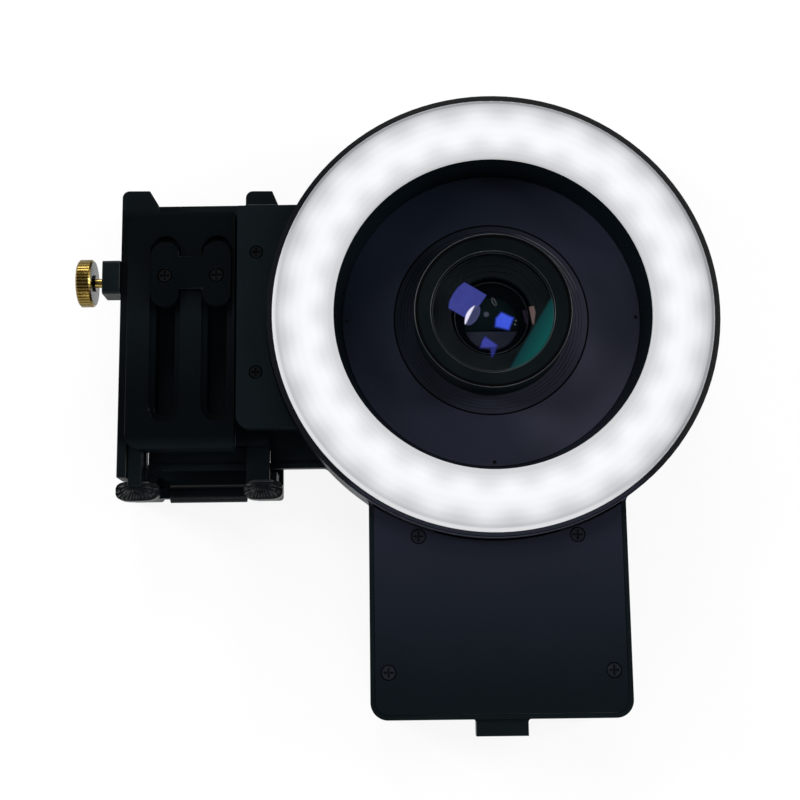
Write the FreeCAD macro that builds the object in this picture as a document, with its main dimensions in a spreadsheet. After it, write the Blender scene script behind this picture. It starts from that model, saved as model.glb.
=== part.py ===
# Phone ring light: a close-up lens inside a ring of light, on a clamp that grips a phone.
# It lies on its back with the light facing up. Lengths are in millimetres.
# The origin is on the optical axis, level with the front edge of the light's rim.
# +X is right and +Y is up as the light is seen from the front, and +Z points out of the lens.
import FreeCAD
import Part
import Sketcher
import math
import os
import re
from collections import namedtuple

SIZES = {
    # Bowl of the light head
    "ring_radius": 60.0,
    "rim_width": 1.35,
    "head_depth": 14.8,
    "floor_thickness": 2.0,
    "port_radius": 21.2,
    "root_inset": 20.0,
    "static_gap": 0.1,
    "moving_gap": 0.3,
    "press_gap": 0.02,
    "thread_gap": 0.05,
    "hole_gap": 0.15,
    "head_gap": 0.12,
    "head_bevel": 0.25,
    "driver_width": 0.5,
    "driver_depth": 0.6,
    "driver_inset": 0.6,
    "pilot_floor": 1.0,
    # Diffuser, inner cone and lens plate
    "diffuser_width": 17.7,
    "diffuser_thickness": 1.5,
    "diffuser_proud": 0.5,
    "diffuser_rounding": 0.45,
    "cone_taper": 2.0,
    "cone_wall": 1.4,
    "plate_depth": 9.5,
    "plate_thickness": 2.0,
    "plate_ledge": 2.4,
    "pin_radius": 0.5,
    "pin_length": 2.8,
    "pin_inset": 1.2,
    # Ring circuit board, lights and reflector
    "board_thickness": 1.4,
    "board_depth": 6.6,
    "board_edge_gap": 0.2,
    "board_screw_reach": 8.2,
    "board_screw_count": 3,
    "board_screw_radius": 0.75,
    "board_screw_head_radius": 1.6,
    "board_screw_head_height": 0.8,
    "board_screw_grip": 3.0,
    "board_boss_radius": 2.2,
    "reflector_sheet": 0.5,
    "light_count": 25,
    "light_inner_reach": 4.2,
    "light_outer_reach": 12.2,
    "light_length": 3.5,
    "light_width": 2.8,
    "light_height": 0.9,
    # Lens
    "flange_radius": 26.2,
    "flange_foot_radius": 29.0,
    "barrel_radius": 20.6,
    "barrel_collar_radius": 21.0,
    "barrel_fit": 0.05,
    "barrel_rear_depth": 14.3,
    "barrel_bore_radius": 16.2,
    "barrel_groove_count": 6,
    "barrel_groove_depth": 0.35,
    "barrel_groove_width": 0.35,
    "front_ring_radius": 21.05,
    "front_ring_height": 0.9,
    "front_ring_length": 3.0,
    "funnel_mouth_radius": 20.3,
    "funnel_throat_radius": 16.4,
    "funnel_depth": 1.6,
    "front_ring_bevel": 0.25,
    "front_glass_recess": 0.9,
    "glass_rim": 1.0,
    "front_glass_radius": 17.2,
    "front_glass_edge": 1.8,
    "front_glass_crown": 1.3,
    "baffle_aperture_radius": 10.9,
    "baffle_depth": 3.9,
    "baffle_length": 3.6,
    "baffle_step_count": 3,
    "baffle_step_height": 0.55,
    "baffle_land": 1.0,
    "lens_land": 2.0,
    "lens_land_radius": 14.6,
    "rear_glass_edge": 2.0,
    "rear_glass_crown": 0.9,
    "rear_aperture_radius": 12.0,
    "rear_flare": 3.0,
    # Foam ring behind the camera port
    "foam_thickness": 0.6,
    "foam_inner_radius": 23.0,
    "foam_outer_radius": 36.0,
    # Battery box
    "box_half_width": 33.4,
    "box_length": 45.7,
    "box_face_depth": 2.5,
    "box_back_depth": 26.2,
    "box_deep_overlap": 4.0,
    "box_wall": 1.9,
    "box_corner_radius": 4.5,
    "box_neck_radius": 2.0,
    "box_seam_inset": 1.15,
    "box_cover_thickness": 1.8,
    "box_cover_gap": 0.12,
    "box_cover_arc_gap": 0.5,
    "wire_hole_half_width": 4.0,
    "wire_hole_height": 3.0,
    "upper_screw_x": 20.6,
    "upper_screw_reach": 2.85,
    "lower_screw_side": 4.7,
    "lower_screw_rise": 11.9,
    "boss_radius": 2.7,
    "box_screw_head_radius": 1.9,
    "box_screw_head_height": 1.1,
    "box_screw_length": 8.0,
    "box_screw_radius": 0.95,
    # Charging tab and socket
    "tab_half_width": 6.6,
    "tab_length": 4.2,
    "tab_face_depth": 2.9,
    "tab_thickness": 6.6,
    "tab_neck_radius": 0.8,
    "socket_half_width": 4.47,
    "socket_half_height": 1.63,
    "socket_wall": 0.3,
    "socket_length": 9.0,
    "socket_corner": 1.45,
    "socket_floor": 1.0,
    "tongue_recess": 0.8,
    "tongue_half_width": 3.35,
    "tongue_thickness": 0.7,
    # Cells and control board
    "cell_side": 9.4,
    "cell_length": 33.0,
    "socket_cover_gap": 0.24,
    "cell_count": 2,
    "cell_rounding": 1.0,
    "cell_rise": 6.2,
    "tape_thickness": 0.5,
    "tape_side": 15.4,
    "tape_length": 24.0,
    "control_board_thickness": 1.2,
    "control_board_side": 13.4,
    "control_board_length": 34.0,
    # Buttons in the right wall
    "button_radius": 2.9,
    "button_flange_radius": 3.7,
    "button_flange_thickness": 0.9,
    "button_travel": 0.5,
    "button_bevel": 0.3,
    "button_depth": 13.0,
    "button_pitch": 10.5,
    "button_first_reach": 6.5,
    "switch_half_width": 2.6,
    "switch_height": 1.9,
    "plunger_height": 0.5,
    "plunger_radius": 1.2,
    "switch_board_thickness": 1.2,
    "switch_board_margin": 3.3,
    "pipe_radius": 0.8,
    "pipe_flange": 0.6,
    "pipe_rise": 6.2,
    # Arm
    "arm_top": 33.8,
    "arm_bottom": 39.7,
    "arm_thickness": 2.8,
    "arm_corner_radius": 1.0,
    "arm_neck_radius": 2.0,
    "arm_groove_y": 38.0,
    "arm_groove_width": 0.9,
    "arm_groove_depth": 0.4,
    # Cover block over the arm
    "block_top": 30.9,
    "block_bottom": 30.2,
    "block_face_depth": 3.0,
    "block_thickness": 3.9,
    "block_corner_radius": 3.7,
    "block_top_radius": 0.6,
    "block_ring_gap": 0.25,
    "block_upper_screw_y": 17.8,
    "block_lower_screw_y": 15.1,
    "block_post_radius": 2.1,
    "block_screw_head_radius": 1.75,
    "block_screw_head_height": 1.0,
    "block_screw_length": 6.0,
    "block_screw_radius": 0.8,
    # Clamp body
    "clamp_face_depth": 4.4,
    "clamp_top": 29.8,
    "clamp_bottom": 35.1,
    "clamp_corner_radius": 4.0,
    "clamp_travel": 8.0,
    "rail_face_depth": 6.2,
    "rail_bottom": 42.4,
    "strip_face_depth": 7.2,
    "corner_bottom": 34.2,
    "corner_height": 8.5,
    "corner_rounding": 2.5,
    "edge_radius": 1.0,
    "core_wall": 2.0,
    "slot_half_width": 2.6,
    "slot_bottom": 26.2,
    "channel_half_width": 4.1,
    "channel_depth": 1.4,
    "channel_top": 23.0,
    "channel_bottom": 27.8,
    # Upper hooks and pads
    "hook_top": 36.45,
    "hook_waist": 32.4,
    "right_hook_face_depth": 7.5,
    "hook_corner_radius": 1.9,
    "lip_thickness": 2.0,
    "upper_lip_reach": 26.4,
    "phone_top": 30.0,
    "phone_bottom": 40.3,
    "pad_side_inset": 0.4,
    "pad_groove_width": 0.6,
    "pad_groove_depth": 0.5,
    "pad_groove_pitch": 1.5,
    # Slider
    "slider_screw_y": 11.7,
    "slider_top": 21.1,
    "slider_bottom": 3.2,
    "slider_proud": 1.2,
    "slider_bridge_top": 16.9,
    "slider_bridge_bottom": 8.0,
    "slider_boss_radius": 2.2,
    "slider_screw_head_radius": 1.9,
    "slider_screw_head_height": 1.2,
    "slider_screw_recess": 0.2,
    "slider_screw_radius": 1.2,
    "insert_radius": 2.3,
    # Lower jaw
    "tongue_face_depth": 6.7,
    "tongue_back_depth": 10.5,
    "tongue_top": 24.6,
    "jaw_closing": 0.5,
    "neck_top": 30.6,
    "neck_face_depth": 8.4,
    "neck_back_depth": 10.4,
    "rod_top": 6.0,
    "rod_radius": 1.0,
    "rod_fit": 0.05,
    "rod_lug_wall": 0.35,
    "rod_lug_height": 3.0,
    "foot_top": 43.7,
    "foot_bottom": 46.8,
    "foot_face_depth": 7.6,
    "lower_lip_reach": 36.5,
    "boot_side": 1.25,
    "boot_front": 0.6,
    "boot_top": 0.4,
    "boot_bottom": 1.6,
    "boot_radius": 2.2,
    "beam_y": 45.5,
    "beam_half": 1.3,
    "beam_depth": 18.6,
    "sleeve_radius": 2.4,
    "sleeve_wall": 0.3,
    "sleeve_end_gap": 1.7,
    # Lock
    "lock_y": 11.15,
    "lock_depth": 8.6,
    "lock_block_top": 16.6,
    "lock_block_bottom": 7.4,
    "lock_block_front": 4.6,
    "lock_block_back": 13.4,
    "lock_shaft_radius": 1.25,
    "lock_fit": 0.05,
    "lock_insert_radius": 2.6,
    "lock_head_radius": 6.45,
    "lock_head_bevel": 0.5,
    "lock_dish_radius": 4.4,
    "lock_dish_depth": 0.5,
    "lock_collar_radius": 2.25,
    "lock_collar_length": 0.5,
    "lock_tip_gap": 0.35,
    "lock_insert_proud": 0.3,
    "knurl_count": 44,
    "knurl_depth": 0.4,
    "knurl_width": 0.55,
}

# How far each of these lies to the left of the light's edge. A negative number is to its right.
REACHES = {
    "arm_left": 32.6,
    "arm_notch_left": 6.1,
    "arm_notch_right": -0.05,
    "block_left": 8.3,
    "block_screw_x": 3.1,
    "clamp_left": 37.85,
    "clamp_right": 8.9,
    "rail_left": 40.05,
    "strip_right": 5.5,
    "corner_right": -0.3,
    "slot_left_x": 27.7,
    "slot_right_x": 13.8,
    "left_hook_right": 32.6,
    "left_hook_waist_right": 30.2,
    "right_hook_left": 6.5,
    "right_hook_right": -0.7,
    "right_hook_waist_right": -2.4,
    "tongue_left": 37.2,
    "tongue_right": 33.5,
    "neck_left": 5.9,
    "neck_right": -0.2,
    "rod_x": 7.25,
    "foot_left_a": 39.3,
    "foot_right_a": 30.4,
    "foot_left_b": 5.3,
    "foot_right_b": -2.5,
    "lock_block_left": 44.8,
    "lock_head_left": 51.5,
    "lock_head_right": 47.5,
}

# Sizes that follow from the others
FOLLOWING = {
    "root_reach": "ring_radius - root_inset",
    "diffuser_inner_radius": "ring_radius - diffuser_width",
    "cone_bottom_radius": "diffuser_inner_radius - cone_taper",
    "board_screw_circle": "diffuser_inner_radius + board_screw_reach",
    "light_inner_circle": "diffuser_inner_radius + light_inner_reach",
    "light_outer_circle": "diffuser_inner_radius + light_outer_reach",
    "box_bottom": "ring_radius + box_length",
    "box_deep_top": "ring_radius - box_deep_overlap",
    "upper_screw_y": "sqrt(ring_radius ^ 2 - upper_screw_x ^ 2) + upper_screw_reach",
    "lower_screw_x": "box_half_width - lower_screw_side",
    "lower_screw_y": "box_bottom - lower_screw_rise",
    "cell_half_width": "box_half_width - cell_side",
    "cell_bottom_y": "box_bottom - cell_rise",
    "cell_room": "box_back_depth - box_wall - box_face_depth - box_cover_thickness - socket_cover_gap",
    "cell_stack": "cell_room - 2 * socket_half_height - control_board_thickness - tape_thickness",
    "cell_thickness": "cell_stack / cell_count",
    "tape_half_width": "box_half_width - tape_side",
    "control_board_half_width": "box_half_width - control_board_side",
    "button_first_y": "ring_radius + button_first_reach",
    "pipe_y": "box_bottom - pipe_rise",
}

doc = FreeCAD.newDocument("phone_ring_light")
sheet = doc.addObject("Spreadsheet::Sheet", "Sizes")
rows = [(alias, str(number)) for alias, number in SIZES.items()]
for alias, number in REACHES.items():
    rows.append((alias + "_reach", str(number)))
    rows.append((alias, "=ring_radius + %s_reach" % alias))
rows += [(alias, "=" + formula) for alias, formula in FOLLOWING.items()]
for row, (alias, content) in enumerate(rows, 1):
    sheet.set("A%d" % row, alias)
    sheet.setAlias("B%d" % row, alias)
for row, (alias, content) in enumerate(rows, 1):
    sheet.set("B%d" % row, content)
doc.recompute()
names = {alias for alias, content in rows}

Circle = namedtuple("Circle", "x y radius")
cuts = []
parts = []


def expression(text):
    """Names of sizes in the text are turned into references to the sheet."""
    def full_name(word):
        return "Sizes." + word.group() if word.group() in names else word.group()
    return re.sub(r"[a-z_]+", full_name, text)


def value(text):
    """The number that a text of sizes stands for."""
    return float(sheet.evalExpression(expression(text)))


def new_body(label, x="0", y="0", z="0"):
    """An empty body at a place given by sizes."""
    body = doc.addObject("PartDesign::Body", label + "_body")
    body.Label = label
    for axis, text in zip("xyz", (x, y, z)):
        body.setExpression("Placement.Base." + axis, expression(text))
    return body


def new_sketch(body, name, role, offset):
    """A sketch on one of the body's own planes, moved along the plane's normal."""
    plane = [item for item in body.Origin.OriginFeatures if item.Role == role][0]
    sketch = body.newObject("Sketcher::SketchObject", name + "_sketch")
    sketch.AttachmentSupport = [(plane, "")]
    sketch.MapMode = "FlatFace"
    sketch.setExpression("AttachmentOffset.Base.z", expression(offset))
    return sketch


def bind(sketch, kind, geometry, position, text):
    """Hold one coordinate of a point at a size."""
    index = sketch.addConstraint(Sketcher.Constraint(kind, -1, 1, geometry, position, value(text)))
    sketch.setExpression("Constraints[%d]" % index, expression(text))


def draw_circle(sketch, circle):
    centre = FreeCAD.Vector(value(circle.x), value(circle.y), 0)
    index = sketch.addGeometry(Part.Circle(centre, FreeCAD.Vector(0, 0, 1), value(circle.radius)), False)
    bind(sketch, "DistanceX", index, 3, circle.x)
    bind(sketch, "DistanceY", index, 3, circle.y)
    radius = sketch.addConstraint(Sketcher.Constraint("Radius", index, value(circle.radius)))
    sketch.setExpression("Constraints[%d]" % radius, expression(circle.radius))


def heading(start, end):
    """Whole-number direction of an edge that runs along X or Y."""
    step = end - start
    return round(step.x / step.Length), round(step.y / step.Length)


def outline_stops(corners):
    """Points of a closed outline in order. A corner with a radius, always a right angle, gives two."""
    points = [FreeCAD.Vector(value(corner[0]), value(corner[1]), 0) for corner in corners]
    stops = []
    for index, corner in enumerate(corners):
        if len(corner) == 2:
            stops.append((corner[0], corner[1], None, 0))
            continue
        x, y, radius = corner
        before = heading(points[index - 1], points[index])
        after = heading(points[index], points[(index + 1) % len(points)])
        turn = before[0] * after[1] - before[1] * after[0]
        start = ("(%s) - (%d) * (%s)" % (x, before[0], radius), "(%s) - (%d) * (%s)" % (y, before[1], radius))
        end = ("(%s) + (%d) * (%s)" % (x, after[0], radius), "(%s) + (%d) * (%s)" % (y, after[1], radius))
        stops.append((start[0], start[1], radius, turn))
        stops.append((end[0], end[1], None, 0))
    return stops


def arc_between(start, end, radius, turn):
    """Quarter arc from start to end, to the left for turn 1 and to the right for turn -1."""
    chord = end - start
    across = FreeCAD.Vector(-chord.y, chord.x, 0) * (turn * 0.5)
    centre = start + chord * 0.5 + across
    first, last = (start, end) if turn > 0 else (end, start)
    angles = [math.atan2(point.y - centre.y, point.x - centre.x) for point in (first, last)]
    circle = Part.Circle(centre, FreeCAD.Vector(0, 0, 1), radius)
    return Part.ArcOfCircle(circle, angles[0], angles[1])


def draw_outline(sketch, corners):
    """A closed outline of straight edges and rounded right angles, every point held by sizes."""
    stops = outline_stops(corners)
    places = [FreeCAD.Vector(value(stop[0]), value(stop[1]), 0) for stop in stops]
    edges = []
    for index, stop in enumerate(stops):
        start = places[index]
        end = places[(index + 1) % len(stops)]
        if start.distanceToPoint(end) < 1e-6:
            continue
        if stop[2] is None:
            geometry = sketch.addGeometry(Part.LineSegment(start, end), False)
            edges.append((geometry, 1, 2, stop))
            continue
        geometry = sketch.addGeometry(arc_between(start, end, value(stop[2]), stop[3]), False)
        edges.append((geometry, 1, 2, stop) if stop[3] > 0 else (geometry, 2, 1, stop))
        radius = sketch.addConstraint(Sketcher.Constraint("Radius", geometry, value(stop[2])))
        sketch.setExpression("Constraints[%d]" % radius, expression(stop[2]))
    for index, (geometry, first, last, stop) in enumerate(edges):
        following = edges[(index + 1) % len(edges)]
        sketch.addConstraint(Sketcher.Constraint("Coincident", geometry, last, following[0], following[1]))
        bind(sketch, "DistanceX", geometry, first, stop[0])
        bind(sketch, "DistanceY", geometry, first, stop[1])


def draw(sketch, loops):
    for loop in loops:
        if isinstance(loop, Circle):
            draw_circle(sketch, loop)
        else:
            draw_outline(sketch, loop)


def extrude(kind, body, name, role, offset, length, loops):
    """Pad or pocket of closed loops, from a plane that is moved along its normal."""
    sketch = new_sketch(body, name, role, offset)
    draw(sketch, loops)
    base = body.Tip
    feature = body.newObject("PartDesign::" + kind, name)
    feature.Profile = sketch
    feature.setExpression("Length", expression(length))
    if kind == "Pocket":
        cuts.append((base, feature))
    return feature


def pad_z(body, name, low, high, *loops):
    return extrude("Pad", body, name, "XY_Plane", low, "(%s) - (%s)" % (high, low), loops)


def cut_z(body, name, low, high, *loops):
    return extrude("Pocket", body, name, "XY_Plane", high, "(%s) - (%s)" % (high, low), loops)


def pad_x(body, name, low, high, *loops):
    return extrude("Pad", body, name, "YZ_Plane", low, "(%s) - (%s)" % (high, low), loops)


def cut_x(body, name, low, high, *loops):
    return extrude("Pocket", body, name, "YZ_Plane", high, "(%s) - (%s)" % (high, low), loops)


def pad_y(body, name, low, high, *loops):
    return extrude("Pad", body, name, "XZ_Plane", "-(%s)" % high, "(%s) - (%s)" % (high, low), loops)


def cut_y(body, name, low, high, *loops):
    return extrude("Pocket", body, name, "XZ_Plane", "-(%s)" % low, "(%s) - (%s)" % (high, low), loops)


def turn(body, name, corners, axis="V_Axis"):
    """Solid turned about the body's Z axis, or about X for axis H_Axis. Corners are radius and height."""
    sketch = new_sketch(body, name, "XZ_Plane", "0")
    draw_outline(sketch, corners)
    feature = body.newObject("PartDesign::Revolution", name)
    feature.Profile = sketch
    feature.ReferenceAxis = (sketch, [axis])
    feature.Angle = 360
    return feature


def repeat_round(body, name, feature, count):
    """Copies of a feature round the normal of its sketch, through the body's origin."""
    pattern = body.newObject("PartDesign::PolarPattern", name)
    pattern.Originals = [feature]
    pattern.Axis = (feature.Profile[0], ["N_Axis"])
    pattern.Angle = 360
    pattern.setExpression("Occurrences", expression(count))
    body.Tip = pattern
    return pattern


def repeat_row(body, name, feature, pitch, count, direction="H_Axis"):
    """Copies of a feature in a row along an axis of its sketch."""
    pattern = body.newObject("PartDesign::LinearPattern", name)
    pattern.Originals = [feature]
    pattern.Direction = (feature.Profile[0], [direction])
    pattern.setExpression("Length", expression("(%s) * (%s - 1)" % (pitch, count)))
    pattern.setExpression("Occurrences", expression(count))
    body.Tip = pattern
    return pattern


def round_edges(body, name, radius, chosen):
    """Round the edges that the test picks on the body's last feature."""
    doc.recompute()
    base = body.Tip
    names = ["Edge%d" % (index + 1) for index, edge in enumerate(base.Shape.Edges) if chosen(edge)]
    fillet = body.newObject("PartDesign::Fillet", name)
    fillet.Base = (base, names)
    fillet.setExpression("Radius", expression(radius))
    return fillet


def upright_at(x, y):
    """Test for an edge along Z at a place given by sizes."""
    def test(edge):
        box = edge.BoundBox
        flat = box.XLength + box.YLength < 1e-4
        return flat and abs(box.Center.x - value(x)) < 1e-2 and abs(box.Center.y - value(y)) < 1e-2
    return test


def rectangle(left, right, bottom, top, radius=None):
    """Corners of a rectangle, rounded if a radius is given."""
    corners = [(left, bottom), (right, bottom), (right, top), (left, top)]
    if radius is None:
        return corners
    return [corner + (radius,) for corner in corners]


def finish(item):
    parts.append(item)


def make_group(label, master, places):
    """Copies of one piece at several places, kept as separate solids in one node."""
    copies = []
    for index, (x, y, z) in enumerate(places, 1):
        copy = doc.addObject("App::Link", "%s_%d" % (label, index))
        copy.LinkedObject = master
        for axis, text in zip("xyz", (x, y, z)):
            copy.setExpression("Placement.Base." + axis, expression(text))
        copies.append(copy)
    group = doc.addObject("Part::Compound", label + "_group")
    group.Label = label
    group.Links = copies
    finish(group)
    return group


def make_screw(label, head_radius, head_height, shank_radius, length):
    """A screw whose head rests on height zero, with a cross in the head."""
    body = new_body(label)
    turn(body, label + "_turned", [
        ("0", "-(%s)" % length),
        (shank_radius, "-(%s)" % length),
        (shank_radius, "0"),
        (head_radius, "0"),
        (head_radius, "%s - head_bevel" % head_height),
        ("%s - head_bevel" % head_radius, head_height),
        ("0", head_height)])
    arm = "(%s - driver_inset)" % head_radius
    half = "0.5 * driver_width"
    low = "%s - driver_depth" % head_height
    cut_z(body, label + "_slot_a", low, head_height, rectangle("-(%s)" % arm, arm, "-(%s)" % half, half))
    cut_z(body, label + "_slot_b", low, head_height, rectangle("-(%s)" % half, half, "-(%s)" % arm, arm))
    return body


# Heights that several pieces share, seen from the rim's front edge
HEAD_BACK = "-head_depth"
FLOOR_TOP = "(-head_depth + floor_thickness)"
DIFFUSER_BACK = "(diffuser_proud - diffuser_thickness)"
PLATE_FACE = "-plate_depth"
PLATE_BACK = "(-plate_depth - plate_thickness)"
BOARD_FACE = "-board_depth"
BOARD_BACK = "(-board_depth - board_thickness)"
BOWL_RADIUS = "(ring_radius - rim_width)"
BOX_BACK = "-box_back_depth"
BOX_FACE = "-box_face_depth"
BOX_FLOOR = "(-box_back_depth + box_wall)"
COVER_BACK = "(-box_face_depth - box_cover_thickness)"
BOX_INSIDE_HALF = "(box_half_width - box_wall)"
BOX_INSIDE_BOTTOM = "(-box_bottom + box_wall)"
ARM_FACE = "(-head_depth + arm_thickness)"
BLOCK_FACE = "-block_face_depth"
BLOCK_BACK = "(-block_face_depth - block_thickness)"
CLAMP_FACE = "-clamp_face_depth"
CLAMP_BACK = "(-head_depth + arm_thickness + 2 * static_gap)"
RAIL_BACK = "(-head_depth - foam_thickness + 2 * static_gap)"
LIP_BACK = "-box_back_depth"
LIP_FACE = "(-box_back_depth + lip_thickness)"
PHONE_FACE = "(-head_depth - foam_thickness)"
PAD_TOP_HEIGHT = "(-head_depth - foam_thickness - static_gap)"
GRIP_BACK = "(-box_back_depth + lip_thickness + static_gap)"
SCREW_SEAT = "(-box_face_depth - box_screw_head_height - static_gap)"
BLOCK_SCREW_SEAT = "(-block_face_depth - block_screw_head_height - static_gap)"
SLIDER_FACE = "(-clamp_face_depth + slider_proud)"
SLIDER_BACK = "(-clamp_face_depth - channel_depth + moving_gap)"
SLIDER_SCREW_SEAT = "(-clamp_face_depth + slider_proud - slider_screw_recess - slider_screw_head_height)"
CELL_TOP = "(-box_back_depth + box_wall + cell_count * cell_thickness)"
CONTROL_BACK = "(-box_back_depth + box_wall + cell_count * cell_thickness + tape_thickness)"
CONTROL_FACE = "(%s + control_board_thickness)" % CONTROL_BACK
SOCKET_HEIGHT = "(%s + socket_half_height)" % CONTROL_FACE
BUTTON_HEIGHT = "-button_depth"
FLANGE_OUT = "(box_half_width - box_wall - moving_gap)"
FLANGE_IN = "(box_half_width - box_wall - moving_gap - button_flange_thickness)"
SWITCH_OUT = "(box_half_width - box_wall - 2 * moving_gap - button_flange_thickness - button_travel)"
SWITCH_BACK = "(%s - switch_height)" % SWITCH_OUT
LOCK_HEIGHT = "-lock_depth"
BOX_SCREWS = [
    ("upper_screw_x", "-upper_screw_y"),
    ("-upper_screw_x", "-upper_screw_y"),
    ("lower_screw_x", "-lower_screw_y"),
    ("-lower_screw_x", "-lower_screw_y")]
BLOCK_SCREWS = [("-block_screw_x", "block_upper_screw_y"), ("-block_screw_x", "-block_lower_screw_y")]
SLIDER_SCREWS = [("-slot_left_x", "slider_screw_y"), ("-slot_right_x", "slider_screw_y")]
BUTTON_NAMES = ("power_button", "plus_button", "minus_button")


def button_y(index):
    return "(-button_first_y - %d * button_pitch)" % index


def make_rear_shell():
    """Bowl of the light, battery tray and arm, moulded in one piece."""
    body = new_body("rear_shell")
    box_sides = [
        ("-box_half_width", "-box_bottom", "box_corner_radius"),
        ("box_half_width", "-box_bottom", "box_corner_radius")]
    pad_z(body, "tray_front", HEAD_BACK, BOX_FACE,
          box_sides + [("box_half_width", "-root_reach"), ("-box_half_width", "-root_reach")])
    pad_z(body, "tray_back", BOX_BACK, HEAD_BACK,
          box_sides + [("box_half_width", "-box_deep_top"), ("-box_half_width", "-box_deep_top")])
    pad_z(body, "charging_tab", "-tab_face_depth - tab_thickness", "-tab_face_depth", [
        ("-tab_half_width - 2 * tab_neck_radius", "-box_bottom + box_wall"),
        ("-tab_half_width - 2 * tab_neck_radius", "-box_bottom"),
        ("-tab_half_width", "-box_bottom", "tab_neck_radius"),
        ("-tab_half_width", "-box_bottom - tab_length"),
        ("tab_half_width", "-box_bottom - tab_length"),
        ("tab_half_width", "-box_bottom", "tab_neck_radius"),
        ("tab_half_width + 2 * tab_neck_radius", "-box_bottom"),
        ("tab_half_width + 2 * tab_neck_radius", "-box_bottom + box_wall")])
    notch_top = "(-foot_top + boot_top + clamp_travel + jaw_closing + moving_gap)"
    pad_z(body, "arm_plate", HEAD_BACK, ARM_FACE, [
        ("-arm_left", "-arm_bottom", "arm_corner_radius"),
        ("-arm_notch_left", "-arm_bottom"),
        ("-arm_notch_left", notch_top),
        ("-arm_notch_right", notch_top),
        ("-arm_notch_right", "-arm_bottom"),
        ("-root_reach", "-arm_bottom"),
        ("-root_reach", "arm_top"),
        ("-arm_left", "arm_top", "arm_corner_radius")])
    inside = ("(-box_half_width + box_seam_inset)", "(box_half_width - box_seam_inset)",
              "(-box_bottom + box_seam_inset)", "-root_reach")
    seam_radius = "(box_corner_radius - box_seam_inset)"
    cut_z(body, "cover_recess", COVER_BACK, BOX_FACE, [
        (inside[0], inside[2], seam_radius),
        (inside[1], inside[2], seam_radius),
        (inside[1], inside[3]),
        (inside[0], inside[3])])
    cut_z(body, "tray_inside", BOX_FLOOR, COVER_BACK, rectangle(
        "-" + BOX_INSIDE_HALF, BOX_INSIDE_HALF, BOX_INSIDE_BOTTOM, "-box_deep_top - box_wall"))
    cut_z(body, "arm_groove", ARM_FACE + " - arm_groove_depth", ARM_FACE, rectangle(
        "-arm_left + arm_corner_radius", "-root_reach", "-arm_groove_y - 0.5 * arm_groove_width",
        "-arm_groove_y + 0.5 * arm_groove_width"))
    pad_z(body, "bowl_disc", HEAD_BACK, "0", Circle("0", "0", "ring_radius"))
    pad_z(body, "screw_bosses", BOX_FLOOR, COVER_BACK, *[Circle(x, y, "boss_radius") for x, y in BOX_SCREWS])
    cut_z(body, "bowl_inside", FLOOR_TOP, "0", Circle("0", "0", BOWL_RADIUS))
    cut_z(body, "camera_port", HEAD_BACK, FLOOR_TOP, Circle("0", "0", "port_radius"))
    boss_x, boss_y = board_screw_place(0)
    board_boss = pad_z(body, "board_boss", FLOOR_TOP, BOARD_BACK, Circle(boss_x, boss_y, "board_boss_radius"))
    repeat_round(body, "board_bosses", board_boss, "board_screw_count")
    board_pilot = cut_z(body, "board_pilot", "-head_depth + pilot_floor", BOARD_BACK,
                        Circle(boss_x, boss_y, "board_screw_radius + thread_gap"))
    repeat_round(body, "board_pilots", board_pilot, "board_screw_count")
    pad_z(body, "block_posts", ARM_FACE, BLOCK_BACK,
          *[Circle(x, y, "block_post_radius") for x, y in BLOCK_SCREWS])
    cut_z(body, "block_pilots", "-head_depth + pilot_floor", BLOCK_BACK,
          *[Circle(x, y, "block_screw_radius + thread_gap") for x, y in BLOCK_SCREWS])
    cut_z(body, "cover_pilots", COVER_BACK + " - box_screw_length", COVER_BACK,
          *[Circle(x, y, "box_screw_radius + thread_gap") for x, y in BOX_SCREWS])
    cut_z(body, "insert_holes", HEAD_BACK, ARM_FACE,
          *[Circle(x, y, "insert_radius + press_gap") for x, y in SLIDER_SCREWS])
    cut_y(body, "wire_hole", "-ring_radius - rim_width", "-ring_radius + 2 * rim_width", rectangle(
        "-wire_hole_half_width", "wire_hole_half_width", FLOOR_TOP, FLOOR_TOP + " + wire_hole_height"))
    cut_y(body, "socket_hole", "-box_bottom - tab_length", "-box_bottom + box_wall", rectangle(
        "-socket_half_width - thread_gap", "socket_half_width + thread_gap",
        SOCKET_HEIGHT + " - socket_half_height - thread_gap",
        SOCKET_HEIGHT + " + socket_half_height + thread_gap",
        "socket_corner"))
    buttons = [Circle(button_y(index), BUTTON_HEIGHT, "button_radius + moving_gap") for index in range(3)]
    cut_x(body, "button_holes", BOX_INSIDE_HALF, "box_half_width", *buttons)
    cut_x(body, "pipe_hole", BOX_INSIDE_HALF, "box_half_width",
          Circle("-pipe_y", BUTTON_HEIGHT, "pipe_radius + press_gap"))
    neck_y = "-sqrt(ring_radius ^ 2 - box_half_width ^ 2)"
    left_neck = upright_at("-box_half_width", neck_y)
    right_neck = upright_at("box_half_width", neck_y)
    round_edges(body, "neck_rounding", "box_neck_radius", lambda edge: left_neck(edge) or right_neck(edge))
    arm_neck = upright_at("-sqrt(ring_radius ^ 2 - arm_bottom ^ 2)", "-arm_bottom")
    round_edges(body, "arm_rounding", "arm_neck_radius", arm_neck)
    finish(body)


def board_screw_place(index):
    """Place of a screw of the ring board. The first stands 30 degrees round from the right."""
    angle = "(30 + %d * 360 / board_screw_count)" % index
    return "board_screw_circle * cos(%s)" % angle, "board_screw_circle * sin(%s)" % angle


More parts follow.
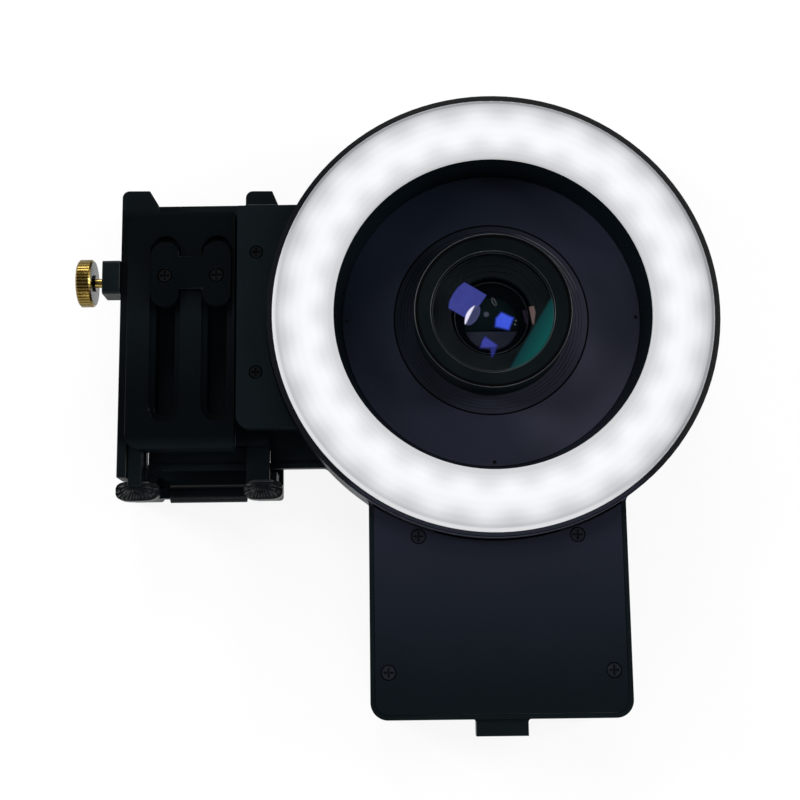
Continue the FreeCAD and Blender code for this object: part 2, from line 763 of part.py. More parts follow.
def make_ring_pieces():
    """Everything that stands in the bowl round the lens."""
    diffuser = new_body("diffuser")
    turn(diffuser, "diffuser_turned", [
        ("diffuser_inner_radius", DIFFUSER_BACK),
        (BOWL_RADIUS + " - static_gap", DIFFUSER_BACK),
        (BOWL_RADIUS + " - static_gap", "diffuser_proud", "diffuser_rounding"),
        ("diffuser_inner_radius", "diffuser_proud", "diffuser_rounding")])
    finish(diffuser)

    cone = new_body("inner_cone")
    turn(cone, "cone_turned", [
        ("diffuser_inner_radius", DIFFUSER_BACK),
        ("cone_bottom_radius", PLATE_FACE),
        ("cone_bottom_radius", PLATE_BACK),
        ("cone_bottom_radius - plate_ledge", PLATE_BACK),
        ("cone_bottom_radius - plate_ledge", FLOOR_TOP),
        ("cone_bottom_radius + cone_wall", FLOOR_TOP),
        ("cone_bottom_radius + cone_wall", PLATE_FACE),
        ("diffuser_inner_radius + cone_wall", DIFFUSER_BACK)])
    pins = pin_places()
    cut_z(cone, "cone_pin_holes", FLOOR_TOP, PLATE_BACK,
          *[Circle(x, y, "pin_radius + press_gap") for x, y in pins])
    finish(cone)

    plate = new_body("lens_plate")
    turn(plate, "plate_turned", [
        ("flange_radius + static_gap", PLATE_BACK),
        ("cone_bottom_radius - static_gap", PLATE_BACK),
        ("cone_bottom_radius - static_gap", PLATE_FACE),
        ("flange_radius + static_gap", PLATE_FACE)])
    cut_z(plate, "plate_pin_holes", PLATE_BACK, PLATE_FACE,
          *[Circle(x, y, "pin_radius + press_gap") for x, y in pins])
    finish(plate)

    pin = new_body("pin_master")
    turn(pin, "pin_turned", [
        ("0", "-pin_length"),
        ("pin_radius", "-pin_length"),
        ("pin_radius", "0"),
        ("0", "0")])
    make_group("plate_pins", pin, [(x, y, PLATE_FACE + " - static_gap") for x, y in pins])

    tray_inner = "(diffuser_inner_radius + cone_wall + static_gap)"
    tray_outer = "(" + BOWL_RADIUS + " - static_gap)"
    reflector = new_body("reflector")
    turn(reflector, "reflector_turned", [
        (tray_inner, BOARD_FACE),
        (tray_outer, BOARD_FACE),
        (tray_outer, DIFFUSER_BACK),
        (tray_outer + " - reflector_sheet", DIFFUSER_BACK),
        (tray_outer + " - reflector_sheet", BOARD_FACE + " + reflector_sheet"),
        (tray_inner + " + reflector_sheet", BOARD_FACE + " + reflector_sheet"),
        (tray_inner + " + reflector_sheet", DIFFUSER_BACK),
        (tray_inner, DIFFUSER_BACK)])
    for name, radius, angle in light_rows():
        window = light_feature(cut_z, reflector, name + "_window", radius, angle, "static_gap",
                               BOARD_FACE, BOARD_FACE + " + reflector_sheet")
        repeat_round(reflector, name + "_windows", window, "light_count")
    board_holes(reflector, "reflector", BOARD_FACE, BOARD_FACE + " + reflector_sheet")
    finish(reflector)

    board = new_body("ring_board")
    turn(board, "board_turned", [
        (tray_inner + " + board_edge_gap", BOARD_BACK),
        (tray_outer + " - board_edge_gap", BOARD_BACK),
        (tray_outer + " - board_edge_gap", BOARD_FACE),
        (tray_inner + " + board_edge_gap", BOARD_FACE)])
    board_holes(board, "board", BOARD_BACK, BOARD_FACE)
    finish(board)

    for name, radius, angle in light_rows():
        lights = new_body(name)
        lights.AllowCompound = True
        light = light_feature(pad_z, lights, name + "_chip", radius, angle, "0",
                              BOARD_FACE, BOARD_FACE + " + light_height")
        repeat_round(lights, name + "_row", light, "light_count")
        finish(lights)

    seat = BOARD_FACE + " + reflector_sheet"
    screw = make_screw("board_screw_master", "board_screw_head_radius", "board_screw_head_height",
                       "board_screw_radius", "(reflector_sheet + board_thickness + board_screw_grip)")
    make_group("board_screws", screw, [
        board_screw_place(index) + (seat,) for index in range(int(value("board_screw_count")))])

    foam = new_body("phone_pad")
    turn(foam, "foam_turned", [
        ("foam_inner_radius", PHONE_FACE),
        ("foam_outer_radius", PHONE_FACE),
        ("foam_outer_radius", HEAD_BACK),
        ("foam_inner_radius", HEAD_BACK)])
    finish(foam)


def pin_places():
    """Four pins near the edge of the lens plate."""
    circle = "(cone_bottom_radius - pin_inset)"
    return [("0", circle), (circle, "0"), ("0", "-" + circle), ("-" + circle, "0")]


def light_rows():
    """Two rows of lights, the outer one half a step round from the inner one."""
    return [("inner_lights", "light_inner_circle", 0), ("outer_lights", "light_outer_circle", 180)]


def light_feature(maker, body, name, radius, half_step, margin, low, high):
    """One light, or its window, at the row's start angle, drawn square to the row."""
    angle = half_step / value("light_count")
    along = (math.cos(math.radians(angle)), math.sin(math.radians(angle)))
    corners = []
    for side, end in ((-1, -1), (1, -1), (1, 1), (-1, 1)):
        depth = "(%s + %d * (0.5 * light_width + %s))" % (radius, side, margin)
        width = "(%d * (0.5 * light_length + %s))" % (end, margin)
        corners.append(("%s * %.9f - %s * %.9f" % (depth, along[0], width, along[1]),
                        "%s * %.9f + %s * %.9f" % (depth, along[1], width, along[0])))
    return maker(body, name, low, high, corners)


def board_holes(body, name, low, high):
    """Screw holes of the ring board."""
    x, y = board_screw_place(0)
    hole = cut_z(body, name + "_hole", low, high, Circle(x, y, "board_screw_radius + hole_gap"))
    repeat_round(body, name + "_holes", hole, "board_screw_count")


def crown_radius(half_chord, height):
    """Radius of a spherical cap as a text of sizes."""
    return "((%s) ^ 2 + (%s) ^ 2) / (2 * (%s))" % (half_chord, height, height)


def make_glass(label, radius, low, high, crown, side):
    """A round glass with one domed face, on top for side 1 and below for side -1."""
    body = new_body(label)
    turn(body, label + "_disc", [("0", low), (radius, low), (radius, high), ("0", high)])
    edge = high if side > 0 else low
    cap_low = edge if side > 0 else "(%s) - (%s)" % (edge, crown)
    cap_high = "(%s) + (%s)" % (edge, crown) if side > 0 else edge
    sketch = new_sketch(body, label + "_dome", "XZ_Plane", "0")
    reach = "(%s - glass_rim)" % radius
    size = value(crown_radius(reach, crown))
    centre = FreeCAD.Vector(0, value(edge) + side * (value(crown) - size), 0)
    rim = math.atan2(value(edge) - centre.y, value(reach))
    top = side * math.pi / 2
    span = (rim, top) if side > 0 else (top, rim)
    circle = Part.Circle(centre, FreeCAD.Vector(0, 0, 1), size)
    arc = sketch.addGeometry(Part.ArcOfCircle(circle, *span), False)
    start, end = (1, 2) if side > 0 else (2, 1)
    apex = cap_high if side > 0 else cap_low
    apex_point = FreeCAD.Vector(0, value(apex), 0)
    foot_point = FreeCAD.Vector(0, value(edge), 0)
    rim_point = FreeCAD.Vector(value(reach), value(edge), 0)
    axis_line = sketch.addGeometry(Part.LineSegment(apex_point, foot_point), False)
    base_line = sketch.addGeometry(Part.LineSegment(foot_point, rim_point), False)
    sketch.addConstraint(Sketcher.Constraint("Coincident", arc, end, axis_line, 1))
    sketch.addConstraint(Sketcher.Constraint("Coincident", axis_line, 2, base_line, 1))
    sketch.addConstraint(Sketcher.Constraint("Coincident", base_line, 2, arc, start))
    held = ((axis_line, 1, "0", apex), (axis_line, 2, "0", edge), (base_line, 2, reach, edge))
    for geometry, point, x, y in held:
        bind(sketch, "DistanceX", geometry, point, x)
        bind(sketch, "DistanceY", geometry, point, y)
    bulge = sketch.addConstraint(Sketcher.Constraint("Radius", arc, size))
    sketch.setExpression("Constraints[%d]" % bulge, expression(crown_radius(reach, crown)))
    dome = body.newObject("PartDesign::Revolution", label + "_cap")
    dome.Profile = sketch
    dome.ReferenceAxis = (sketch, ["V_Axis"])
    dome.Angle = 360
    finish(body)


def make_lens():
    """Flange in the plate, and the barrel with its glasses and rings."""
    bore = "(barrel_radius + barrel_fit)"
    flange = new_body("lens_flange")
    turn(flange, "flange_turned", [
        (bore, FLOOR_TOP),
        ("flange_foot_radius", FLOOR_TOP),
        ("flange_foot_radius", PLATE_BACK),
        ("flange_radius", PLATE_BACK),
        ("flange_radius", PLATE_FACE),
        (bore, PLATE_FACE)])
    finish(flange)

    shoulder = "(-plate_depth + moving_gap)"
    ring_back = "(front_ring_height - front_ring_length)"
    throat = "(front_ring_height - funnel_depth)"
    glass_top = "(front_ring_height - funnel_depth - front_glass_recess)"
    glass_back = "(%s - front_glass_edge)" % glass_top
    land_top = "(-baffle_depth - baffle_length - static_gap)"
    land_back = "(-baffle_depth - baffle_length - static_gap - lens_land)"
    outside = [
        ("barrel_radius", "-barrel_rear_depth"),
        ("barrel_radius", shoulder),
        ("barrel_collar_radius", shoulder)]
    groove_count = int(value("barrel_groove_count"))
    pitch = "((%s - %s) / (barrel_groove_count + 1))" % (ring_back, shoulder)
    for index in range(groove_count):
        start = "(%s + %s * %d - 0.5 * barrel_groove_width)" % (shoulder, pitch, index + 1)
        end = "(%s + %s * %d + 0.5 * barrel_groove_width)" % (shoulder, pitch, index + 1)
        outside += [
            ("barrel_collar_radius", start),
            ("barrel_collar_radius - barrel_groove_depth", start),
            ("barrel_collar_radius - barrel_groove_depth", end),
            ("barrel_collar_radius", end)]
    inside = [
        ("barrel_collar_radius", ring_back),
        ("front_glass_radius + static_gap", ring_back),
        ("front_glass_radius + static_gap", glass_back),
        ("barrel_bore_radius", glass_back),
        ("barrel_bore_radius", land_top),
        ("lens_land_radius", land_top),
        ("lens_land_radius", land_back),
        ("barrel_bore_radius", land_back),
        ("barrel_bore_radius", "-barrel_rear_depth")]
    barrel = new_body("lens_barrel")
    turn(barrel, "barrel_turned", outside + inside)
    finish(barrel)

    ring = new_body("front_ring")
    turn(ring, "ring_turned", [
        ("front_glass_radius + static_gap", ring_back),
        ("front_ring_radius", ring_back),
        ("front_ring_radius", "front_ring_height - front_ring_bevel"),
        ("front_ring_radius - front_ring_bevel", "front_ring_height"),
        ("funnel_mouth_radius", "front_ring_height"),
        ("funnel_throat_radius", throat),
        ("funnel_throat_radius", glass_top + " + static_gap"),
        ("front_glass_radius + static_gap", glass_top + " + static_gap")])
    finish(ring)
    make_glass("front_glass", "front_glass_radius", glass_back, glass_top, "front_glass_crown", 1)

    steps = int(value("baffle_step_count"))
    reach = "(barrel_bore_radius - baffle_land - baffle_aperture_radius)"
    profile = [
        ("baffle_aperture_radius", "-baffle_depth - baffle_length"),
        ("barrel_bore_radius - static_gap", "-baffle_depth - baffle_length"),
        ("barrel_bore_radius - static_gap", "-baffle_depth")]
    for index in range(steps + 1):
        radius = "(baffle_aperture_radius + %s * (1 - %d / baffle_step_count))" % (reach, index)
        profile.append((radius, "(-baffle_depth - baffle_step_height * %d)" % index))
        if index < steps:
            profile.append((radius, "(-baffle_depth - baffle_step_height * %d)" % (index + 1)))
    baffle = new_body("lens_baffle")
    turn(baffle, "baffle_turned", profile)
    finish(baffle)

    rear_top = "(%s - static_gap)" % land_back
    rear_low = "(%s - rear_glass_edge)" % rear_top
    make_glass("rear_glass", "barrel_bore_radius - 2 * static_gap", rear_low, rear_top,
               "rear_glass_crown", -1)
    retainer = new_body("rear_retainer")
    turn(retainer, "retainer_turned", [
        ("rear_aperture_radius + rear_flare", rear_low),
        ("rear_aperture_radius", "-barrel_rear_depth"),
        ("barrel_bore_radius - static_gap", "-barrel_rear_depth"),
        ("barrel_bore_radius - static_gap", rear_low)])
    finish(retainer)


def make_box_pieces():
    """Cover, cells, boards and socket of the battery box."""
    edge = "(box_half_width - box_seam_inset - box_cover_gap)"
    bottom = "(-box_bottom + box_seam_inset + box_cover_gap)"
    radius = "(box_corner_radius - box_seam_inset - box_cover_gap)"
    cover = new_body("box_cover")
    pad_z(cover, "cover_plate", COVER_BACK, BOX_FACE, [
        ("-" + edge, bottom, radius),
        (edge, bottom, radius),
        (edge, "-root_reach"),
        ("-" + edge, "-root_reach")])
    cut_z(cover, "cover_arc", COVER_BACK, BOX_FACE, Circle("0", "0", "ring_radius + box_cover_arc_gap"))
    cut_z(cover, "cover_counterbores", SCREW_SEAT, BOX_FACE,
          *[Circle(x, y, "box_screw_head_radius + head_gap") for x, y in BOX_SCREWS])
    cut_z(cover, "cover_holes", COVER_BACK, SCREW_SEAT,
          *[Circle(x, y, "box_screw_radius + hole_gap") for x, y in BOX_SCREWS])
    finish(cover)
    screw = make_screw("box_screw_master", "box_screw_head_radius", "box_screw_head_height",
                       "box_screw_radius", "box_screw_length")
    make_group("cover_screws", screw, [(x, y, SCREW_SEAT) for x, y in BOX_SCREWS])

    cell = new_body("cell_master")
    pad_z(cell, "cell_block", "0", "cell_thickness", rectangle(
        "-cell_half_width", "cell_half_width",
        "-cell_bottom_y", "-cell_bottom_y + cell_length", "cell_rounding"))
    make_group("battery_cells", cell, [
        ("0", "0", BOX_FLOOR + " + %d * cell_thickness" % index)
        for index in range(int(value("cell_count")))])
    tape = new_body("board_tape")
    pad_z(tape, "tape_strip", CELL_TOP, CONTROL_BACK, rectangle(
        "-tape_half_width", "tape_half_width", "-cell_bottom_y", "-cell_bottom_y + tape_length"))
    finish(tape)
    front = "(-box_bottom - tab_length + moving_gap)"
    socket_back = "(%s + socket_length)" % front
    board = new_body("control_board")
    pad_z(board, "control_plate", CONTROL_BACK, CONTROL_FACE, rectangle(
        "-control_board_half_width", "control_board_half_width",
        BOX_INSIDE_BOTTOM + " + moving_gap", BOX_INSIDE_BOTTOM + " + control_board_length"))
    finish(board)

    low = SOCKET_HEIGHT + " - socket_half_height"
    high = SOCKET_HEIGHT + " + socket_half_height"
    socket = new_body("charging_socket")
    pad_y(socket, "socket_shell", front, socket_back,
          rectangle("-socket_half_width", "socket_half_width", low, high, "socket_corner"))
    cut_y(socket, "socket_mouth", front, socket_back + " - socket_floor", rectangle(
        "-socket_half_width + socket_wall", "socket_half_width - socket_wall",
        low + " + socket_wall", high + " - socket_wall", "socket_corner - socket_wall"))
    finish(socket)
    tongue = new_body("socket_tongue")
    pad_y(tongue, "tongue_plate", front + " + tongue_recess", socket_back + " - socket_floor", rectangle(
        "-tongue_half_width", "tongue_half_width",
        SOCKET_HEIGHT + " - 0.5 * tongue_thickness", SOCKET_HEIGHT + " + 0.5 * tongue_thickness"))
    finish(tongue)


def make_buttons():
    """Three push buttons in the right wall, their switches and the status light pipe."""
    for index, name in enumerate(BUTTON_NAMES):
        button = new_body(name, y=button_y(index), z=BUTTON_HEIGHT)
        turn(button, name + "_turned", [
            (FLANGE_IN, "0"),
            (FLANGE_IN, "button_flange_radius"),
            (FLANGE_OUT, "button_flange_radius"),
            (FLANGE_OUT, "button_radius"),
            ("box_half_width - button_bevel", "button_radius"),
            ("box_half_width", "button_radius - button_bevel"),
            ("box_half_width", "0")], "H_Axis")
        finish(button)
    board = new_body("switch_board")
    top = "-button_first_y + switch_board_margin"
    bottom = "(-button_first_y - 2 * button_pitch - switch_board_margin)"
    pad_x(board, "switch_plate", SWITCH_BACK + " - switch_board_thickness", SWITCH_BACK,
          rectangle(bottom, top, BOX_FLOOR, BUTTON_HEIGHT + " + switch_board_margin"))
    finish(board)
    switch = new_body("switch_master")
    pad_x(switch, "switch_case", SWITCH_BACK, SWITCH_OUT + " - plunger_height", rectangle(
        "-switch_half_width", "switch_half_width", "-switch_half_width", "switch_half_width"))
    pad_x(switch, "switch_plunger", SWITCH_OUT + " - plunger_height", SWITCH_OUT,
          Circle("0", "0", "plunger_radius"))
    make_group("switches", switch, [("0", button_y(index), BUTTON_HEIGHT) for index in range(3)])
    pipe = new_body("light_pipe", y="-pipe_y", z=BUTTON_HEIGHT)
    turn(pipe, "pipe_turned", [
        (FLANGE_IN, "0"),
        (FLANGE_IN, "pipe_radius + pipe_flange"),
        (BOX_INSIDE_HALF, "pipe_radius + pipe_flange"),
        (BOX_INSIDE_HALF, "pipe_radius"),
        ("box_half_width", "pipe_radius"),
        ("box_half_width", "0")], "H_Axis")
    finish(pipe)


def make_cover_block():
    """Block that closes the arm's root beside the ring."""
    block = new_body("cover_block")
    pad_z(block, "block_plate", BLOCK_BACK, BLOCK_FACE, [
        ("-block_left", "-block_bottom", "block_corner_radius"),
        ("-root_reach", "-block_bottom"),
        ("-root_reach", "block_top"),
        ("-block_left", "block_top", "block_top_radius")])
    cut_z(block, "block_arc", BLOCK_BACK, BLOCK_FACE, Circle("0", "0", "ring_radius + block_ring_gap"))
    cut_z(block, "block_counterbores", BLOCK_SCREW_SEAT, BLOCK_FACE,
          *[Circle(x, y, "block_screw_head_radius + head_gap") for x, y in BLOCK_SCREWS])
    cut_z(block, "block_holes", BLOCK_BACK, BLOCK_SCREW_SEAT,
          *[Circle(x, y, "block_screw_radius + hole_gap") for x, y in BLOCK_SCREWS])
    finish(block)
    screw = make_screw("block_screw_master", "block_screw_head_radius", "block_screw_head_height",
                       "block_screw_radius", "block_screw_length")
    make_group("block_screws", screw, [(x, y, BLOCK_SCREW_SEAT) for x, y in BLOCK_SCREWS])


def hook_outlines(low):
    """Outlines of the two upper hooks from a height in Y up to their tops."""
    left = [
        ("-rail_left", low),
        ("-left_hook_waist_right", low),
        ("-left_hook_waist_right", "hook_waist"),
        ("-left_hook_right", "hook_top"),
        ("-rail_left", "hook_top", "hook_corner_radius")]
    right = [
        ("-right_hook_left", low),
        ("-right_hook_waist_right", low),
        ("-right_hook_waist_right", "hook_waist"),
        ("-right_hook_right", "hook_top"),
        ("-right_hook_left", "hook_top", "hook_corner_radius")]
    return [left, right]


def make_clamp_body():
    """Slotted plate with its side rail, strip under the cover block and two upper hooks."""
    body = new_body("clamp_body")
    pad_z(body, "front_plate", CLAMP_BACK, CLAMP_FACE, [
        ("-clamp_left", "-clamp_bottom", "clamp_corner_radius"),
        ("-clamp_right", "-clamp_bottom", "edge_radius"),
        ("-clamp_right", "clamp_top", "edge_radius"),
        ("-clamp_left", "clamp_top", "clamp_corner_radius")])
    wall_right = "(-tongue_left - moving_gap)"
    pad_z(body, "side_wall", CLAMP_BACK, "-rail_face_depth",
          rectangle("-rail_left", wall_right, "-rail_bottom", "hook_waist"))
    rail_right = "(-arm_left - 2 * moving_gap)"
    pad_z(body, "rail", RAIL_BACK, CLAMP_BACK,
          rectangle("-rail_left", rail_right, "-rail_bottom", "hook_waist"))
    corner_top = "(-corner_bottom + corner_height)"
    pad_z(body, "strip", CLAMP_BACK, "-strip_face_depth", [
        ("-clamp_right - edge_radius", "-corner_bottom"),
        ("-corner_right", "-corner_bottom", "corner_rounding"),
        ("-corner_right", corner_top, "edge_radius"),
        ("-strip_right", corner_top),
        ("-strip_right", "block_upper_screw_y + block_post_radius + 2 * moving_gap"),
        ("-right_hook_waist_right", "block_upper_screw_y + block_post_radius + 2 * moving_gap",
         "edge_radius"),
        ("-right_hook_waist_right", "hook_waist"),
        ("-right_hook_left", "hook_waist"),
        ("-right_hook_left", "clamp_top - edge_radius"),
        ("-clamp_right - edge_radius", "clamp_top - edge_radius")])
    inner = "(arm_top + moving_gap)"
    left_hook, right_hook = hook_outlines("(clamp_top - clamp_corner_radius)")
    pad_z(body, "left_hook_bridge", CLAMP_BACK, "-rail_face_depth", left_hook)
    pad_z(body, "right_hook_bridge", CLAMP_BACK, "-right_hook_face_depth", right_hook)
    pad_z(body, "hook_backs", LIP_BACK, CLAMP_BACK, *hook_tops(inner))
    pad_z(body, "upper_lips", LIP_BACK, LIP_FACE,
          rectangle("-rail_left", "-left_hook_right", "upper_lip_reach", inner + " + edge_radius"),
          rectangle("-right_hook_left", "-right_hook_right", "upper_lip_reach", inner + " + edge_radius"))
    for side, x in (("left", "-slot_left_x"), ("right", "-slot_right_x")):
        cut_z(body, side + "_channel", CLAMP_FACE + " - channel_depth", CLAMP_FACE, rectangle(
            "(%s) - channel_half_width" % x, "(%s) + channel_half_width" % x,
            "-channel_bottom", "channel_top", "channel_half_width"))
        cut_z(body, side + "_slot", CLAMP_BACK, CLAMP_FACE + " - channel_depth", rectangle(
            "(%s) - slot_half_width" % x, "(%s) + slot_half_width" % x, "-slot_bottom",
            "slider_screw_y + slider_boss_radius + moving_gap", "slot_half_width"))
    cut_z(body, "core", CLAMP_BACK, CLAMP_FACE + " - core_wall", rectangle(
        "-slot_left_x + slot_half_width + core_wall", "-slot_right_x - slot_half_width - core_wall",
        "-clamp_bottom + core_wall", "clamp_top - core_wall", "edge_radius"))
    cut_y(body, "tongue_channel", "-clamp_bottom", "tongue_top + jaw_closing + moving_gap", rectangle(
        "-tongue_left - moving_gap", "-tongue_right + moving_gap",
        "-tongue_back_depth - moving_gap", "-tongue_face_depth + moving_gap"))
    neck_low = "(-neck_back_depth - moving_gap)"
    neck_high = "(-neck_face_depth + moving_gap)"
    lug_left = "(-rod_x - rod_radius - rod_lug_wall - moving_gap)"
    pocket_top = "(-neck_top + jaw_closing + moving_gap)"
    cut_z(body, "neck_pocket", neck_low, neck_high,
          rectangle(lug_left, "-corner_right", "-corner_bottom", pocket_top))
    cut_y(body, "rod_bore", pocket_top, "rod_top + jaw_closing + moving_gap",
          Circle("-rod_x", rod_height(), "rod_radius + rod_fit"))
    cut_x(body, "lock_bore", "-rail_left", "-tongue_left - moving_gap",
          Circle("lock_y", LOCK_HEIGHT, "lock_shaft_radius + lock_fit"))
    finish(body)


def hook_tops(low):
    """Outlines of the hooks' outer walls, from the arm's edge outward."""
    slope = "(left_hook_waist_right - left_hook_right) / (hook_top - hook_waist)"
    left_low = "(-left_hook_waist_right + (%s) * ((%s) - hook_waist))" % (slope, low)
    slope = "(right_hook_waist_right - right_hook_right) / (hook_top - hook_waist)"
    right_low = "(-right_hook_waist_right + (%s) * ((%s) - hook_waist))" % (slope, low)
    left = [
        ("-rail_left", low),
        (left_low, low),
        ("-left_hook_right", "hook_top"),
        ("-rail_left", "hook_top", "hook_corner_radius")]
    right = [
        ("-right_hook_left", low),
        (right_low, low),
        ("-right_hook_right", "hook_top"),
        ("-right_hook_left", "hook_top", "hook_corner_radius")]
    return [left, right]


def rod_height():
    return "-0.5 * (neck_face_depth + neck_back_depth)"


def make_upper_pads():
    """Rubber pads between the hooks and the phone's upper edge."""
    spans = [("left", "-rail_left", "-left_hook_right"), ("right", "-right_hook_left", "-right_hook_right")]
    for side, left, right in spans:
        pad = new_body("upper_pad_" + side)
        pad_z(pad, "upper_pad_block_" + side, LIP_FACE, PAD_TOP_HEIGHT, rectangle(
            left + " + pad_side_inset", right + " - pad_side_inset", "phone_top", "arm_top + moving_gap"))
        count = int((value(right) - value(left) - 2 * value("pad_side_inset")) / value("pad_groove_pitch"))
        cut_grooves(pad, "upper_pad_groove_" + side, LIP_FACE, PAD_TOP_HEIGHT,
                    "(%s + %s)" % (left, right), count, "phone_top")
        finish(pad)


def cut_grooves(body, name, low, high, sides, count, foot):
    """A row of shallow grooves, even about the middle of two sides, rising from a foot line."""
    first = "(%s / 2 - %.1f * pad_groove_pitch)" % (sides, (count - 1) / 2)
    groove = cut_z(body, name, low, high, rectangle(
        first + " - 0.5 * pad_groove_width", first + " + 0.5 * pad_groove_width",
        foot, foot + " + pad_groove_depth"))
    repeat_row(body, name + "_row", groove, "pad_groove_pitch", str(count))


def make_slider():
    """H-shaped slider, its two screws and the threaded inserts in the arm."""
    slider = new_body("slider")
    lobe = "(channel_half_width - moving_gap)"
    lobes = [rectangle("(%s) - %s" % (x, lobe), "(%s) + %s" % (x, lobe), "slider_bottom", "slider_top", lobe)
             for x in ("-slot_left_x", "-slot_right_x")]
    pad_z(slider, "lobes", SLIDER_BACK, SLIDER_FACE, *lobes)
    pad_z(slider, "bridge", CLAMP_FACE + " + moving_gap", SLIDER_FACE, rectangle(
        "-slot_left_x", "-slot_right_x", "slider_bridge_bottom", "slider_bridge_top"))
    pad_z(slider, "bosses", ARM_FACE, SLIDER_BACK,
          *[Circle(x, y, "slider_boss_radius") for x, y in SLIDER_SCREWS])
    cut_z(slider, "screw_seats", SLIDER_SCREW_SEAT, SLIDER_FACE,
          *[Circle(x, y, "slider_screw_head_radius + head_gap") for x, y in SLIDER_SCREWS])
    cut_z(slider, "screw_holes", ARM_FACE, SLIDER_SCREW_SEAT,
          *[Circle(x, y, "slider_screw_radius + thread_gap") for x, y in SLIDER_SCREWS])
    finish(slider)
    length = "(%s - (%s) - moving_gap)" % (SLIDER_SCREW_SEAT, HEAD_BACK)
    screw = make_screw("slider_screw_master", "slider_screw_head_radius", "slider_screw_head_height",
                       "slider_screw_radius", length)
    make_group("slider_screws", screw, [(x, y, SLIDER_SCREW_SEAT) for x, y in SLIDER_SCREWS])
    insert = new_body("insert_master")
    turn(insert, "insert_turned", [
        ("slider_screw_radius + press_gap", HEAD_BACK),
        ("insert_radius", HEAD_BACK),
        ("insert_radius", ARM_FACE),
        ("slider_screw_radius + press_gap", ARM_FACE)])
    make_group("arm_inserts", insert, [(x, y, "0") for x, y in SLIDER_SCREWS])


FEET = [("left", "-foot_left_a", "-foot_right_a"), ("right", "-foot_left_b", "-foot_right_b")]
WAIST_BACK = "(-head_depth - moving_gap)"
WAIST_FACE = "(-head_depth + arm_thickness + moving_gap)"
BOOT_FACE = "(-foot_face_depth + boot_front)"


def make_lower_jaw():
    """Sliding jaw: a guided tongue, a short neck, two feet with a lip and the beam between them."""
    jaw = new_body("lower_jaw")
    feet = [rectangle(left, right, "-foot_bottom", "-foot_top", "edge_radius") for side, left, right in FEET]
    pad_x(jaw, "beam", "-foot_right_a - edge_radius", "-foot_left_b + edge_radius", rectangle(
        "-beam_y - beam_half", "-beam_y + beam_half", "-beam_depth - beam_half", "-beam_depth + beam_half"))
    pad_z(jaw, "feet", LIP_BACK, "-foot_face_depth", *feet)
    pad_z(jaw, "lower_lip", LIP_BACK, LIP_FACE, rectangle(
        "-foot_left_a", "-foot_right_b", "-foot_bottom + edge_radius", "-lower_lip_reach", "edge_radius"))
    pad_z(jaw, "tongue", "-tongue_back_depth", "-tongue_face_depth",
          rectangle("-tongue_left", "-tongue_right", "-foot_top - edge_radius", "tongue_top"))
    pad_z(jaw, "neck", "-neck_back_depth", "-neck_face_depth", [
        ("-neck_left", "-foot_top - edge_radius"),
        ("-neck_right", "-foot_top - edge_radius"),
        ("-neck_right", "-neck_top"),
        ("-rod_x - rod_radius - rod_lug_wall", "-neck_top"),
        ("-rod_x - rod_radius - rod_lug_wall", "-neck_top - rod_lug_height"),
        ("-neck_left", "-neck_top - rod_lug_height")])
    waists = [("left", "-arm_left - moving_gap", "-foot_right_a"),
              ("right", "-arm_notch_right - moving_gap", "-foot_right_b")]
    for side, left, right in waists:
        cut_z(jaw, side + "_waist", WAIST_BACK, WAIST_FACE,
              rectangle(left, right, "-foot_bottom", "-foot_top"))
    finish(jaw)

    rod = new_body("guide_rod")
    pad_y(rod, "rod_bar", "-neck_top", "rod_top", Circle("-rod_x", rod_height(), "rod_radius"))
    finish(rod)

    sleeve = new_body("bar_sleeve", y="-beam_y", z="-beam_depth")
    pad_x(sleeve, "sleeve_tube", "-foot_right_a + boot_side + sleeve_end_gap",
          "-foot_left_b - boot_side - moving_gap",
          Circle("0", "0", "sleeve_radius"), Circle("0", "0", "sleeve_radius - sleeve_wall"))
    finish(sleeve)


def make_lower_pads():
    """Ribbed rubber boots on the jaw's feet, and the rubber grips under the phone's lower edge."""
    legs = [("-tongue_left", "-tongue_right", "-tongue_back_depth", BOOT_FACE),
            ("-neck_left", "-neck_right", "-neck_back_depth", "-neck_face_depth")]
    for (side, left, right), leg in zip(FEET, legs):
        outer = (left + " - boot_side", right + " + boot_side")
        bottom = "-foot_bottom - boot_bottom"
        boot = new_body("lower_boot_" + side)
        pad_z(boot, "boot_" + side, WAIST_FACE, BOOT_FACE, rectangle(
            outer[0], outer[1], bottom, "-foot_top + boot_top", "boot_radius"))
        cut_z(boot, "boot_inside_" + side, WAIST_FACE, "-foot_face_depth",
              rectangle(left, right, "-foot_bottom", "-foot_top", "edge_radius"))
        cut_y(boot, "boot_leg_" + side, "-foot_top - edge_radius", "-foot_top + boot_top",
              rectangle(leg[0] + " - static_gap", leg[1] + " + static_gap",
                        leg[2] + " - static_gap", leg[3] + " + static_gap"))
        span = value(outer[1]) - value(outer[0]) - 2 * value("boot_radius")
        count = int(span / value("pad_groove_pitch")) + 1
        cut_grooves(boot, "boot_groove_" + side, WAIST_FACE, BOOT_FACE,
                    "(%s + %s)" % outer, count, bottom)
        finish(boot)
        grip = new_body("lower_grip_" + side)
        pad_z(grip, "grip_" + side, GRIP_BACK, PAD_TOP_HEIGHT, rectangle(
            left + " + edge_radius", right + " - edge_radius", "-foot_top", "-phone_bottom"))
        finish(grip)


